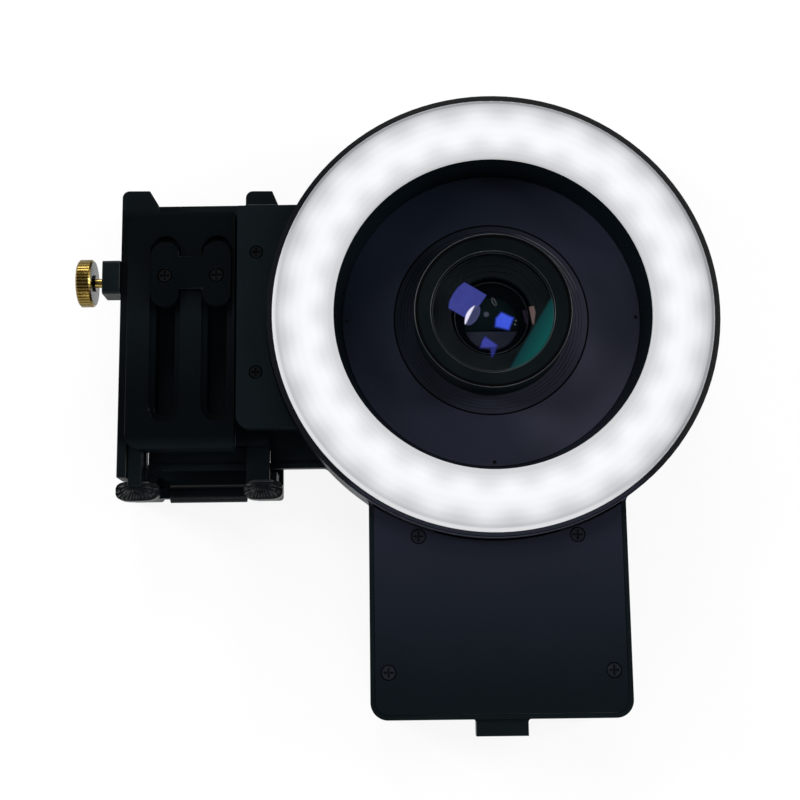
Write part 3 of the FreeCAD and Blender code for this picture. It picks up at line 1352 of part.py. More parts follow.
def make_lock():
    """Block on the clamp's side with a threaded insert, and the knurled screw that locks the jaw."""
    block = new_body("lock_block")
    pad_x(block, "lock_cube", "-lock_block_left", "-rail_left", rectangle(
        "lock_block_bottom", "lock_block_top",
        "-lock_block_back", "-lock_block_front", "edge_radius"))
    cut_x(block, "lock_hole", "-lock_block_left", "-rail_left",
          Circle("lock_y", LOCK_HEIGHT, "lock_insert_radius + press_gap"))
    finish(block)
    insert = new_body("lock_insert", y="lock_y", z=LOCK_HEIGHT)
    pad_x(insert, "lock_insert_tube", "-lock_block_left - lock_insert_proud", "-rail_left",
          Circle("0", "0", "lock_insert_radius"), Circle("0", "0", "lock_shaft_radius + lock_fit"))
    finish(insert)

    screw = new_body("lock_screw", y="lock_y", z=LOCK_HEIGHT)
    turn(screw, "lock_turned", [
        ("-lock_head_left + lock_dish_depth", "0"),
        ("-lock_head_left + lock_dish_depth", "lock_dish_radius"),
        ("-lock_head_left", "lock_dish_radius + lock_dish_depth"),
        ("-lock_head_left", "lock_head_radius - lock_head_bevel"),
        ("-lock_head_left + lock_head_bevel", "lock_head_radius"),
        ("-lock_head_right - lock_head_bevel", "lock_head_radius"),
        ("-lock_head_right", "lock_head_radius - lock_head_bevel"),
        ("-lock_head_right", "lock_collar_radius"),
        ("-lock_head_right + lock_collar_length", "lock_collar_radius"),
        ("-lock_head_right + lock_collar_length", "lock_shaft_radius"),
        ("-tongue_left - lock_tip_gap", "lock_shaft_radius"),
        ("-tongue_left - lock_tip_gap", "0")], "H_Axis")
    knurl = cut_x(screw, "knurl", "-lock_head_left", "-lock_head_right", [
        ("-0.5 * knurl_width", "lock_head_radius + static_gap"),
        ("0", "lock_head_radius - knurl_depth"),
        ("0.5 * knurl_width", "lock_head_radius + static_gap")])
    repeat_round(screw, "knurls", knurl, "knurl_count")
    finish(screw)


make_rear_shell()
make_ring_pieces()
make_lens()
make_box_pieces()
make_buttons()
make_cover_block()
make_clamp_body()
make_upper_pads()
make_slider()
make_lower_jaw()
make_lower_pads()
make_lock()
doc.recompute()

for item in doc.Objects:
    if "Invalid" in item.State or "Error" in item.State:
        raise RuntimeError("%s did not build: %s" % (item.Name, item.State))
for base, feature in cuts:
    if base.Shape.Volume - feature.Shape.Volume < 1e-3:
        raise RuntimeError("%s cuts nothing" % feature.Name)
for item in parts:
    if item.Shape.isNull() or not item.Shape.isValid():
        raise RuntimeError("%s has no valid solid" % item.Label)

os.makedirs("parts", exist_ok=True)
for item in parts:
    item.Shape.exportStep("parts/" + item.Label + ".step")
    print("%-18s solids %3d volume %10.2f" % (item.Label, len(item.Shape.Solids), item.Shape.Volume))
print(len(parts), "nodes")
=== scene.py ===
# Phone ring light on a pale floor, seen from above as in a studio picture.
# Lengths are in metres, and where a name or comment says millimetres they are scaled by MM.
import bpy
import bmesh
import math
from mathutils import Matrix, Vector


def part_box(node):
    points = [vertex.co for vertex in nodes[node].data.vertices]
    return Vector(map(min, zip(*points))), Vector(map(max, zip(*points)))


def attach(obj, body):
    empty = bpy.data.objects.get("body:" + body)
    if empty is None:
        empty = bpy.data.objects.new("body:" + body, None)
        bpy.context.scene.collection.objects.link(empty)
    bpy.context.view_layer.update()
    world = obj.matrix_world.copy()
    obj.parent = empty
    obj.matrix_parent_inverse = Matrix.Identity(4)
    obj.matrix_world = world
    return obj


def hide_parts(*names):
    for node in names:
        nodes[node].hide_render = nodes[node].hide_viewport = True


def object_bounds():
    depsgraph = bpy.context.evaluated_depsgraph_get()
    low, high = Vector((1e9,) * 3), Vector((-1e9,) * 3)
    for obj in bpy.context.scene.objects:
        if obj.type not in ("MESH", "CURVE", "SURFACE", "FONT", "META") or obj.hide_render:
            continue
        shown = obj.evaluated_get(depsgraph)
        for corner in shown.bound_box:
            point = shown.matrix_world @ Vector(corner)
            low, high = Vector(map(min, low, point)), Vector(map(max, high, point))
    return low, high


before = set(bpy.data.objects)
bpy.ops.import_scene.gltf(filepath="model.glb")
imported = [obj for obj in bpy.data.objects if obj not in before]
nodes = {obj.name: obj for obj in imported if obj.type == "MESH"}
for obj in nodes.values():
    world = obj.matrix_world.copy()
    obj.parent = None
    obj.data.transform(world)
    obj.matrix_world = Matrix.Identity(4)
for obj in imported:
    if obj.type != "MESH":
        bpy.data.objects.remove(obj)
cad_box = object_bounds()
MM = 0.001


# Shader helpers. What varies over a surface is handed on as the output socket of a node.

NOISE_SPAN = (0.35, 0.65)  # most values of a soft noise lie in this range
GRAIN_SPAN = (0.3, 0.7)  # the same for a fine one


def new_tree(name):
    material = bpy.data.materials.new(name)
    material.use_nodes = True
    tree = material.node_tree
    tree.nodes.clear()
    out = tree.nodes.new("ShaderNodeOutputMaterial")
    return material, tree, out


def math_node(tree, kind, a, b=None):
    """Result socket of a Math node. Each input is a socket or a number."""
    node = tree.nodes.new("ShaderNodeMath")
    node.operation = kind
    for index, item in enumerate((a, b)):
        if item is None:
            continue
        if isinstance(item, (int, float)):
            node.inputs[index].default_value = item
        else:
            tree.links.new(item, node.inputs[index])
    return node.outputs[0]


def plus(tree, a, b):
    return math_node(tree, "ADD", a, b)


def minus(tree, a, b):
    return math_node(tree, "SUBTRACT", a, b)


def times(tree, *items):
    result = items[0]
    for item in items[1:]:
        result = math_node(tree, "MULTIPLY", result, item)
    return result


def without(tree, mask):
    return minus(tree, 1.0, mask)


def weighted(tree, *pairs):
    """Sum of sockets, each times its number."""
    total = None
    for socket, weight in pairs:
        share = times(tree, socket, weight)
        total = share if total is None else plus(tree, total, share)
    return total


def distance(tree, a, b):
    return math_node(tree, "SQRT", plus(tree, times(tree, a, a), times(tree, b, b)))


def map_range(tree, source, low, high, to_low=0.0, to_high=1.0, smooth=False):
    node = tree.nodes.new("ShaderNodeMapRange")
    node.interpolation_type = "SMOOTHSTEP" if smooth else "LINEAR"
    tree.links.new(source, node.inputs["Value"])
    for key, number in (("From Min", low), ("From Max", high), ("To Min", to_low), ("To Max", to_high)):
        node.inputs[key].default_value = number
    return node.outputs["Result"]


def fade(tree, source, low, high, smooth=False):
    """1 up to low, 0 from high on."""
    return map_range(tree, source, low, high, 1.0, 0.0, smooth)


def mix_colour(tree, factor, a, b, limit=True):
    """Colour between a and b, which are inputs 6 and 7. Each is a socket or three numbers."""
    node = tree.nodes.new("ShaderNodeMix")
    node.data_type = "RGBA"
    node.clamp_factor = limit
    tree.links.new(factor, node.inputs[0])
    for index, item in ((6, a), (7, b)):
        if isinstance(item, tuple):
            node.inputs[index].default_value = item + (1.0,)
        else:
            tree.links.new(item, node.inputs[index])
    return node.outputs[2]


def mix_shader(tree, factor, first, second):
    node = tree.nodes.new("ShaderNodeMixShader")
    for index, socket in enumerate((factor, first, second)):
        tree.links.new(socket, node.inputs[index])
    return node.outputs[0]


def vector_node(tree, kind, vector, numbers):
    node = tree.nodes.new("ShaderNodeVectorMath")
    node.operation = kind
    tree.links.new(vector, node.inputs[0])
    node.inputs[1].default_value = numbers
    return node.outputs["Vector" if kind == "MULTIPLY" else "Value"]


def object_place(tree):
    return tree.nodes.new("ShaderNodeTexCoord").outputs["Object"]


def split(tree, vector):
    node = tree.nodes.new("ShaderNodeSeparateXYZ")
    tree.links.new(vector, node.inputs[0])
    return node.outputs


def noise(tree, vector, scale, detail=2.0, roughness=0.5, stretch=None):
    if stretch is not None:
        mapping = tree.nodes.new("ShaderNodeMapping")
        mapping.inputs["Scale"].default_value = stretch
        tree.links.new(vector, mapping.inputs["Vector"])
        vector = mapping.outputs[0]
    node = tree.nodes.new("ShaderNodeTexNoise")
    node.inputs["Scale"].default_value = scale
    node.inputs["Detail"].default_value = detail
    node.inputs["Roughness"].default_value = roughness
    tree.links.new(vector, node.inputs["Vector"])
    return node.outputs["Fac"]


def bump(tree, height, depth, strength=1.0):
    node = tree.nodes.new("ShaderNodeBump")
    node.inputs["Strength"].default_value = strength
    node.inputs["Distance"].default_value = depth
    tree.links.new(height, node.inputs["Height"])
    return node.outputs["Normal"]


def principled(tree, out, roughness, **sockets):
    shader = tree.nodes.new("ShaderNodeBsdfPrincipled")
    shader.inputs["Roughness"].default_value = roughness
    for key, number in sockets.items():
        shader.inputs[key.replace("_", " ")].default_value = number
    tree.links.new(shader.outputs[0], out.inputs["Surface"])
    return shader


def dress(tree, shader, colour, roughness=None, normal=None):
    """Links what varies over the surface."""
    for key, socket in (("Base Color", colour), ("Roughness", roughness), ("Normal", normal)):
        if socket is not None:
            tree.links.new(socket, shader.inputs[key])


# Materials

CLOUD_SCALE = 40.0
PLATE_SHADE = (0.0004, 0.0012, 0.0018)
PLATE_TOP, PLATE_BOTTOM = (0.0285, 0.0315), (-0.0345, -0.0320)


def plate_zone(tree, place):
    """The clamp's raised plate. It is darker than its hooks and rail, most of all far from its middle."""
    y = split(tree, place)[1]
    outward = map_range(tree, math_node(tree, "ABSOLUTE", y), 0.0, 0.020, 0.15, 1.0)
    below_hooks = fade(tree, y, *PLATE_TOP)
    above_jaw = map_range(tree, y, *PLATE_BOTTOM)
    return times(tree, outward, times(tree, below_hooks, above_jaw))


def moulded(name, low, high, roughness, grain, depth, specular=0.3, darker=False):
    """Moulded plastic or rubber: two close tones in soft clouds, and a fine pebbled grain."""
    material, tree, out = new_tree(name)
    shader = principled(tree, out, roughness, Specular_IOR_Level=specular)
    place = object_place(tree)
    clouds = noise(tree, place, CLOUD_SCALE, 3.0, 0.6)
    fine = noise(tree, place, grain, 2.0, 0.6)
    tone = weighted(tree, (clouds, 0.7), (fine, 0.3))
    colour = mix_colour(tree, map_range(tree, tone, *NOISE_SPAN), low, high)
    if darker:
        colour = mix_colour(tree, plate_zone(tree, place), colour, PLATE_SHADE)
    uneven = map_range(tree, fine, *GRAIN_SPAN, roughness - 0.08, roughness + 0.08)
    dress(tree, shader, colour, uneven, bump(tree, fine, depth))
    return material


RIM_EDGE, WALL_LIGHT_STEP = (0.0601, 0.0604), (0.0598, 0.0599)
SEAM_INNER, SEAM_OUTER = (0.05950, 0.05962), (0.05975, 0.05987)
BOX_TOP = (-0.0470, -0.0440)


def shell_finish():
    """The housing: moulded black, paler round the diffuser with a painted highlight on one side, and palest
    over the box, where painted light brightens the outer wall and a seam shows.
    """
    material, tree, out = new_tree("shell_plastic")
    shader = principled(tree, out, 0.42, Specular_IOR_Level=0.05)
    place = object_place(tree)
    x, y = split(tree, place)[:2]
    radius = distance(tree, x, y)
    near_rim = fade(tree, radius, *RIM_EDGE)
    lit_side = map_range(tree, plus(tree, x, y), -0.02, 0.03)
    over_box = fade(tree, y, *BOX_TOP)
    seam = times(tree, map_range(tree, radius, *SEAM_INNER), fade(tree, radius, *SEAM_OUTER))
    painted_wall_light = map_range(tree, radius, *WALL_LIGHT_STEP)
    fine = noise(tree, place, 5200.0, 2.0, 0.6)
    cloud = noise(tree, place, CLOUD_SCALE, 3.0, 0.6)
    clouds = map_range(tree, cloud, *NOISE_SPAN)
    body = mix_colour(tree, clouds, (0.0022, 0.0042, 0.0052), (0.0034, 0.0058, 0.0074))
    # Painted highlight: the band round the diffuser is lighter on its lit side.
    rim = mix_colour(tree, lit_side, (0.0046, 0.0052, 0.0068), (0.0130, 0.0132, 0.0140))
    # Painted light on the outer wall over the box, against its shade.
    low_rim = mix_colour(tree, painted_wall_light, (0.0145, 0.0168, 0.0245), (0.030, 0.034, 0.045))
    low_rim = mix_colour(tree, seam, low_rim, (0.0014, 0.0020, 0.0040))
    rim = mix_colour(tree, over_box, rim, low_rim)
    uneven = map_range(tree, fine, *GRAIN_SPAN, 0.34, 0.50)
    dress(tree, shader, mix_colour(tree, near_rim, body, rim), uneven, bump(tree, fine, 0.00004))
    return material


RING_PITCH = 9000.0


def turned_metal(name, low, high, roughness, metallic=0.0, specular=0.5, depth=0.00002):
    """Anodised or bare metal turned on a lathe: fine rings round the optical axis."""
    material, tree, out = new_tree(name)
    shader = principled(tree, out, roughness, Metallic=metallic, Specular_IOR_Level=specular)
    place = object_place(tree)
    x, y, z = split(tree, place)
    along = plus(tree, distance(tree, x, y), z)
    rings = math_node(tree, "SINE", times(tree, along, RING_PITCH))
    cloud = noise(tree, place, 60.0, 3.0)
    colour = mix_colour(tree, map_range(tree, cloud, *NOISE_SPAN), low, high)
    mixed = plus(tree, times(tree, rings, 0.3), cloud)
    uneven = map_range(tree, mixed, 0.2, 0.9, roughness - 0.06, roughness + 0.06)
    dress(tree, shader, colour, uneven, bump(tree, rings, depth, 0.6))
    return material


SHADED_TONE = (0.004, 0.005, 0.005)
SHAFT_EDGE = (0.0015, 0.0016)


def metal(name, low, high, roughness, metallic=1.0, scratch=1.0, grain=2500.0, stretch=(1.0, 1.0, 1.0),
          specular=0.5, shaded=None):
    """Bare or coated metal with faint scratches and uneven polish.

    shaded is the middle of a face that looks along +X and gets painted shade outside the shaft that leaves
    it.
    """
    material, tree, out = new_tree(name)
    shader = principled(tree, out, roughness, Metallic=metallic, Specular_IOR_Level=specular)
    place = object_place(tree)
    cloud = noise(tree, place, 250.0, 3.0)
    lines = noise(tree, place, grain, 2.0, 0.5, stretch)
    colour = mix_colour(tree, map_range(tree, cloud, *GRAIN_SPAN), low, high)
    if shaded is not None:
        x, y, z = split(tree, place)
        from_axis = distance(tree, minus(tree, y, shaded[1]), minus(tree, z, shaded[2]))
        on_face = map_range(tree, x, shaded[0] - 0.00006, shaded[0] - 0.00002)
        off_shaft = map_range(tree, from_axis, *SHAFT_EDGE)
        # Painted shade on that face.
        colour = mix_colour(tree, times(tree, on_face, off_shaft), colour, SHADED_TONE)
    polish = weighted(tree, (lines, 0.6), (cloud, 0.4))
    uneven = map_range(tree, polish, *NOISE_SPAN, roughness - 0.07, roughness + 0.09)
    dress(tree, shader, colour, uneven, bump(tree, lines, 0.00002 * scratch))
    return material


PLASTIC = {"grain": 5200.0, "depth": 0.00004}
BRASS_TONES = ((0.17, 0.120, 0.030), (0.29, 0.210, 0.062))
# Middle of the back of the lock screw's head, which gets painted shade.
LOCK_HEAD_BACK = (-0.1075, 0.01115, -0.0086)

BLACK = moulded("black_plastic", (0.0016, 0.0032, 0.0044), (0.0026, 0.0046, 0.0058), 0.40,
                specular=0.05, **PLASTIC)
CLAMP_BLACK = moulded("clamp_plastic", (0.0018, 0.0034, 0.0046), (0.0028, 0.0048, 0.0060), 0.42,
                      specular=0.04, darker=True, **PLASTIC)
COVER_BLACK = moulded("cover_plastic", (0.0024, 0.0046, 0.0058), (0.0034, 0.0060, 0.0074), 0.40,
                      specular=0.05, **PLASTIC)
SLIDE_BLACK = moulded("slider_plastic", (0.0004, 0.0012, 0.0020), (0.0010, 0.0020, 0.0028), 0.42,
                      specular=0.03, **PLASTIC)
SHELL_BLACK = shell_finish()
RUBBER = moulded("black_rubber", (0.0012, 0.0026, 0.0034), (0.0024, 0.0040, 0.0048), 0.40,
                 grain=3600.0, depth=0.00004, specular=0.10)
BOOT = moulded("boot_rubber", (0.0010, 0.0020, 0.0028), (0.0022, 0.0034, 0.0042), 0.36,
               grain=2400.0, depth=0.00003, specular=0.09)
MARK = moulded("mark_rubber", (0.020, 0.022, 0.024), (0.040, 0.043, 0.046), 0.45,
               grain=2400.0, depth=0.00002, specular=0.2)
FOAM = moulded("foam", (0.010, 0.010, 0.011), (0.022, 0.022, 0.024), 0.85,
               grain=2600.0, depth=0.00012, specular=0.2)
GLOSS = moulded("cone_black", (0.0010, 0.0024, 0.0036), (0.0020, 0.0036, 0.0050), 0.3,
                grain=6500.0, depth=0.00002, specular=0.12)
# Black for the flange gap, and painted shade for a band inside the lens's outer rim.
GAP_AND_SHADE_BLACK = moulded("dark_gap_and_shade", (0.0003, 0.0004, 0.0006), (0.0008, 0.0009, 0.0012), 0.7,
                   grain=3000.0, depth=0.00001, specular=0.02)
ANODISED = turned_metal("anodised", (0.0024, 0.0042, 0.0052), (0.0040, 0.0058, 0.0070), 0.60,
                        specular=0.006, depth=0.000005)
INNER = turned_metal("inner_anodised", (0.0038, 0.0060, 0.0072), (0.0060, 0.0085, 0.0098), 0.45,
                     specular=0.12, depth=0.00001)
BRASS = metal("brass", *BRASS_TONES, 0.24, scratch=0.3)
LOCK_BRASS = metal("lock_brass", *BRASS_TONES, 0.24, scratch=0.3, shaded=LOCK_HEAD_BACK)
STEEL = metal("steel", (0.42, 0.42, 0.43), (0.56, 0.56, 0.57), 0.3, grain=1800.0, stretch=(1.0, 6.0, 1.0))
BLACK_STEEL = metal("black_steel", (0.0006, 0.0016, 0.0024), (0.0014, 0.0026, 0.0036), 0.38,
                    metallic=0.0, scratch=0.6, specular=0.05)
SCREW = metal("screw_black", (0.0006, 0.0010, 0.0014), (0.0016, 0.0022, 0.0028), 0.34,
              metallic=0.0, scratch=1.5, grain=3500.0, specular=0.12)
HEAD_BLACK = metal("screw_head", (0.0050, 0.0066, 0.0096), (0.0086, 0.0106, 0.0146), 0.36,
                   metallic=0.0, grain=3500.0, specular=0.10)
BOARD = moulded("board_green", (0.010, 0.060, 0.022), (0.016, 0.090, 0.035), 0.4,
                grain=900.0, depth=0.00002, specular=0.5)
WHITE_BOARD = moulded("board_white", (0.62, 0.63, 0.62), (0.72, 0.73, 0.72), 0.4,
                      grain=900.0, depth=0.00002, specular=0.5)
SHEET = moulded("reflector_white", (0.72, 0.72, 0.71), (0.80, 0.80, 0.79), 0.5,
                grain=1500.0, depth=0.00002, specular=0.5)
CELL = metal("cell_foil", (0.45, 0.46, 0.48), (0.6, 0.61, 0.63), 0.35,
             metallic=0.9, scratch=2.0, grain=400.0)
TAPE = moulded("tape", (0.45, 0.44, 0.40), (0.6, 0.58, 0.54), 0.85, grain=2000.0, depth=0.0001)
CHIP = moulded("light_chip", (0.75, 0.55, 0.10), (0.85, 0.66, 0.18), 0.35,
               grain=2000.0, depth=0.00001, specular=0.5)
CLEAR = moulded("light_pipe", (0.55, 0.62, 0.58), (0.66, 0.72, 0.68), 0.2,
                grain=3000.0, depth=0.00001, specular=0.5)
# Lighter materials for rounded edges: painted highlights.
EDGE_HIGHLIGHT = moulded("edge_painted_highlight", (0.0036, 0.0052, 0.0064), (0.0084, 0.0104, 0.0120), 0.36,
               grain=900.0, depth=0.00002, specular=0.08)
BOX_EDGE_HIGHLIGHT = moulded("box_edge_painted_highlight", (0.0040, 0.0060, 0.0085), (0.0080, 0.0100, 0.0130), 0.35,
                   grain=3000.0, depth=0.00002, specular=0.10)
CLAMP_EDGE_HIGHLIGHT = moulded("clamp_edge_painted_highlight", (0.0028, 0.0044, 0.0056), (0.0060, 0.0080, 0.0094), 0.36,
                     grain=900.0, depth=0.00002, specular=0.06)
# Lighter metal for the rim and ledge lines of the lens: a painted highlight on machined edges.
FAINT_HIGHLIGHT = turned_metal("faint_rim_highlight", (0.0110, 0.0125, 0.0140), (0.0230, 0.0250, 0.0270), 0.4, specular=0.3)
RIM_HIGHLIGHT = turned_metal("bright_rim_highlight", (0.016, 0.018, 0.021), (0.035, 0.038, 0.041), 0.38, 0.3, 0.3)


def satin_with_painted_light(name, dark, light, toward, reach, start=0.0, pale=None):
    """Satin black, a little purple, with painted light that makes it lighter toward one side.

    The change of tone reaches so many millimetres either side of start. pale is the middle of a patch of
    painted light.
    """
    material, tree, out = new_tree(name)
    shader = principled(tree, out, 0.52, Specular_IOR_Level=0.06)
    place = object_place(tree)
    x, y = split(tree, place)[:2]
    along = weighted(tree, (x, toward[0] / MM), (y, toward[1] / MM))
    cloud = times(tree, minus(tree, noise(tree, place, 45.0, 3.0, 0.6), 0.5), 0.22)
    tone = plus(tree, map_range(tree, along, start - reach, start + reach), cloud)
    tone = math_node(tree, "MAXIMUM", tone, 0.0)
    # Painted pool of light round the patch's middle.
    if pale is not None:
        away = vector_node(tree, "DISTANCE", place, pale)
        tone = plus(tree, tone, fade(tree, away, 0.008, 0.024, smooth=True))
    grain = noise(tree, place, 5200.0, 2.0)
    uneven = map_range(tree, grain, *GRAIN_SPAN, 0.46, 0.60)
    colour = mix_colour(tree, tone, dark, light, limit=False)
    dress(tree, shader, colour, uneven, bump(tree, grain, 0.00003))
    return material


FLANGE_LIT = (0.93, -0.37)
# The plate's patch of painted light makes up for the shadow that the lens casts on it.
PLATE = satin_with_painted_light("plate_black", (0.0044, 0.0078, 0.0156), (0.0228, 0.0258, 0.0415), (0.76, -0.65), 38.0,
                     pale=(0.0245, -0.0235, -0.0095))
FLANGE = satin_with_painted_light("flange_black", (0.0014, 0.0036, 0.0068), (0.0250, 0.0272, 0.0410), FLANGE_LIT, 24.0)
BOX_BLACK = satin_with_painted_light("box_plastic", (0.0014, 0.0034, 0.0054), (0.0098, 0.0118, 0.0200), (0.0, 1.0), 24.0,
                         start=-76.0)

MATERIALS = {
    "rear_shell": SHELL_BLACK, "inner_cone": GLOSS, "lens_plate": PLATE, "plate_pins": SCREW,
    "reflector": SHEET, "ring_board": WHITE_BOARD, "inner_lights": CHIP, "outer_lights": CHIP,
    "board_screws": STEEL, "phone_pad": FOAM, "lens_flange": FLANGE, "lens_barrel": ANODISED,
    "front_ring": ANODISED, "lens_baffle": INNER, "rear_retainer": ANODISED, "box_cover": BOX_BLACK,
    "cover_screws": HEAD_BLACK, "battery_cells": CELL, "board_tape": TAPE, "control_board": BOARD,
    "charging_socket": STEEL, "socket_tongue": BLACK, "power_button": RUBBER, "plus_button": RUBBER,
    "minus_button": RUBBER, "switch_board": BOARD, "switches": STEEL, "light_pipe": CLEAR,
    "cover_block": COVER_BLACK, "block_screws": SCREW, "clamp_body": CLAMP_BLACK, "upper_pad_left": RUBBER,
    "upper_pad_right": RUBBER, "slider": SLIDE_BLACK, "slider_screws": SCREW, "arm_inserts": BRASS,
    "lower_jaw": BLACK, "guide_rod": STEEL, "bar_sleeve": BLACK_STEEL, "lower_boot_left": RUBBER,
    "lower_boot_right": RUBBER, "lower_grip_left": RUBBER, "lower_grip_right": RUBBER,
    "lock_block": COVER_BLACK, "lock_insert": BLACK_STEEL, "lock_screw": LOCK_BRASS}
for name, material in MATERIALS.items():
    materials = nodes[name].data.materials
    if len(materials) == 0:
        materials.append(material)
    for index in range(len(materials)):
        materials[index] = material


# Edge rounding on the pieces that come from the frame

SAME_POINT = 0.004 * MM
FLAT_ANGLE = math.radians(0.6)
SHARP_ANGLE = math.radians(32.0)


def soften(name, width, highlight_material, limit):
    """Rounds the sharp edges, which catch the light as fine lines. The rounding gets a lighter material, a
    painted highlight.

    The frame's faces come apart at their edges, so they are joined first. limit keeps the rounding from
    passing the middle of a narrow face, which the box cover and the buttons need.
    """
    piece = nodes[name]
    weld = piece.modifiers.new("joined_faces", "WELD")
    weld.merge_threshold = SAME_POINT
    flat = piece.modifiers.new("flat_faces", "DECIMATE")
    flat.decimate_type = "DISSOLVE"
    flat.angle_limit = FLAT_ANGLE
    edge = piece.modifiers.new("edge_rounding", "BEVEL")
    edge.offset_type = "ABSOLUTE"
    edge.width = width
    edge.segments = 2
    edge.limit_method = "ANGLE"
    edge.angle_limit = SHARP_ANGLE
    edge.use_clamp_overlap = limit
    piece.data.materials.append(highlight_material)
    edge.material = len(piece.data.materials) - 1


SOFT_EDGES = {
    "clamp_body": (0.22, CLAMP_EDGE_HIGHLIGHT, False), "cover_block": (0.22, EDGE_HIGHLIGHT, False),
    "slider": (0.20, EDGE_HIGHLIGHT, False), "lower_jaw": (0.22, EDGE_HIGHLIGHT, False), "lock_block": (0.30, EDGE_HIGHLIGHT, False),
    "box_cover": (0.25, BOX_EDGE_HIGHLIGHT, True), "power_button": (0.15, EDGE_HIGHLIGHT, True),
    "plus_button": (0.15, EDGE_HIGHLIGHT, True), "minus_button": (0.15, EDGE_HIGHLIGHT, True)}
for name, (width, highlight_material, limit) in SOFT_EDGES.items():
    soften(name, width * MM, highlight_material, limit)


# Diffuser: lit from behind by two rows of lights. Radii are in millimetres.

DIFFUSER_INNER, DIFFUSER_OUTER = 42.0, 59.0
GLOW = [(42.0, 0.46), (43.3, 0.52), (44.5, 0.61), (46.0, 0.70), (48.0, 0.79), (50.0, 0.82),
        (52.0, 0.77), (54.0, 0.675), (56.0, 0.54), (57.5, 0.40), (58.6, 0.34)]
LIGHTS_IN_ROW = 25.0
ROWS = [(46.6, 2.4, 0.24, 0.055), (54.8, 2.8, 7.4, 0.062)]  # radius, width, first angle in degrees, strength
LIP_EDGE = (57.3, 57.9)
LIP_LIT_FROM = math.radians(235.0)


def glow_across(tree, radius):
    """Brightness from the inner to the outer edge."""
    across = tree.nodes.new("ShaderNodeValToRGB")
    tree.links.new(map_range(tree, radius, DIFFUSER_INNER, DIFFUSER_OUTER), across.inputs[0])
    ramp = across.color_ramp
    ramp.interpolation = "EASE"
    for index, (at, level) in enumerate(GLOW):
        position = (at - DIFFUSER_INNER) / (DIFFUSER_OUTER - DIFFUSER_INNER)
        element = ramp.elements[index] if index < 2 else ramp.elements.new(position)
        element.position = position
        element.color = (level, level, level, 1.0)
    return across.outputs["Color"]


def milky_ring():
    """Milky plastic that glows in soft spots, one for each light. Its outer lip is duller, with painted
    light on one side and painted shade on the other.
    """
    material, tree, out = new_tree("milky_diffuser")
    shader = principled(tree, out, 0.42, Specular_IOR_Level=0.35, Emission_Strength=1.0)
    place = object_place(tree)
    x, y = split(tree, place)[:2]
    radius = times(tree, distance(tree, x, y), 1.0 / MM)
    angle = math_node(tree, "ARCTAN2", y, x)

    def row(at, width, start):
        turn = math_node(tree, "COSINE", times(tree, minus(tree, angle, start), LIGHTS_IN_ROW))
        away = math_node(tree, "DIVIDE", minus(tree, radius, at), width)
        return times(tree, turn, math_node(tree, "EXPONENT", times(tree, away, away, -1.0)))
    spots = weighted(tree, *((row(at, width, math.radians(first)), strength)
                             for at, width, first, strength in ROWS))
    haze = times(tree, minus(tree, noise(tree, place, 90.0, 3.0), 0.5), 0.05)
    glow = plus(tree, plus(tree, glow_across(tree, radius), spots), haze)
    # Painted light and shade on the lip, brightest toward LIP_LIT_FROM.
    toward = math_node(tree, "COSINE", minus(tree, angle, LIP_LIT_FROM))
    painted_lip = map_range(tree, toward, 0.0, 0.55, 0.17, 0.60, smooth=True)
    on_lip = map_range(tree, radius, *LIP_EDGE, smooth=True)
    glow = plus(tree, times(tree, glow, without(tree, on_lip)), times(tree, painted_lip, on_lip))
    emitted = mix_colour(tree, glow, (0.0, 0.0, 0.0), (0.985, 0.985, 1.0))
    tree.links.new(emitted, shader.inputs["Emission Color"])
    colour = mix_colour(tree, haze, (0.095, 0.10, 0.11), (0.12, 0.125, 0.135))
    dress(tree, shader, colour, normal=bump(tree, noise(tree, place, 3000.0), 0.00001))
    return material


nodes["diffuser"].data.materials[0] = milky_ring()


# Lens: coated glass. The windows that it seems to reflect are painted reflections, in millimetres.

def flat_place(tree):
    """Place across the optical axis, in millimetres."""
    return vector_node(tree, "MULTIPLY", object_place(tree), (1.0 / MM, 1.0 / MM, 0.0))


def polygon(tree, place, corners, soft):
    """1 inside a convex outline given clockwise, 0 outside. Its edge is twice soft wide."""
    inside = None
    for (ax, ay), (bx, by) in zip(corners, corners[1:] + corners[:1]):
        length = math.hypot(bx - ax, by - ay)
        across = ((by - ay) / length, -(bx - ax) / length)
        reach = vector_node(tree, "DOT_PRODUCT", place, across + (0.0,))
        depth = minus(tree, reach, across[0] * ax + across[1] * ay)
        inside = depth if inside is None else math_node(tree, "MINIMUM", inside, depth)
    return map_range(tree, inside, -soft, soft, smooth=True)


def disc(tree, place, centre, radius, soft):
    """1 inside a circle, 0 outside."""
    away = vector_node(tree, "DISTANCE", place, centre + (0.0,))
    return fade(tree, away, radius - soft, radius + soft, smooth=True)


def ellipse(tree, place, centre, radii, soft, degrees):
    """1 inside a turned ellipse, 0 outside. soft is a share of its radii."""
    mapping = tree.nodes.new("ShaderNodeMapping")
    mapping.vector_type = "TEXTURE"
    mapping.inputs["Location"].default_value = centre + (0.0,)
    mapping.inputs["Rotation"].default_value = (0.0, 0.0, math.radians(degrees))
    mapping.inputs["Scale"].default_value = radii + (1.0,)
    tree.links.new(place, mapping.inputs["Vector"])
    return disc(tree, mapping.outputs[0], (0.0, 0.0), 1.0, soft)


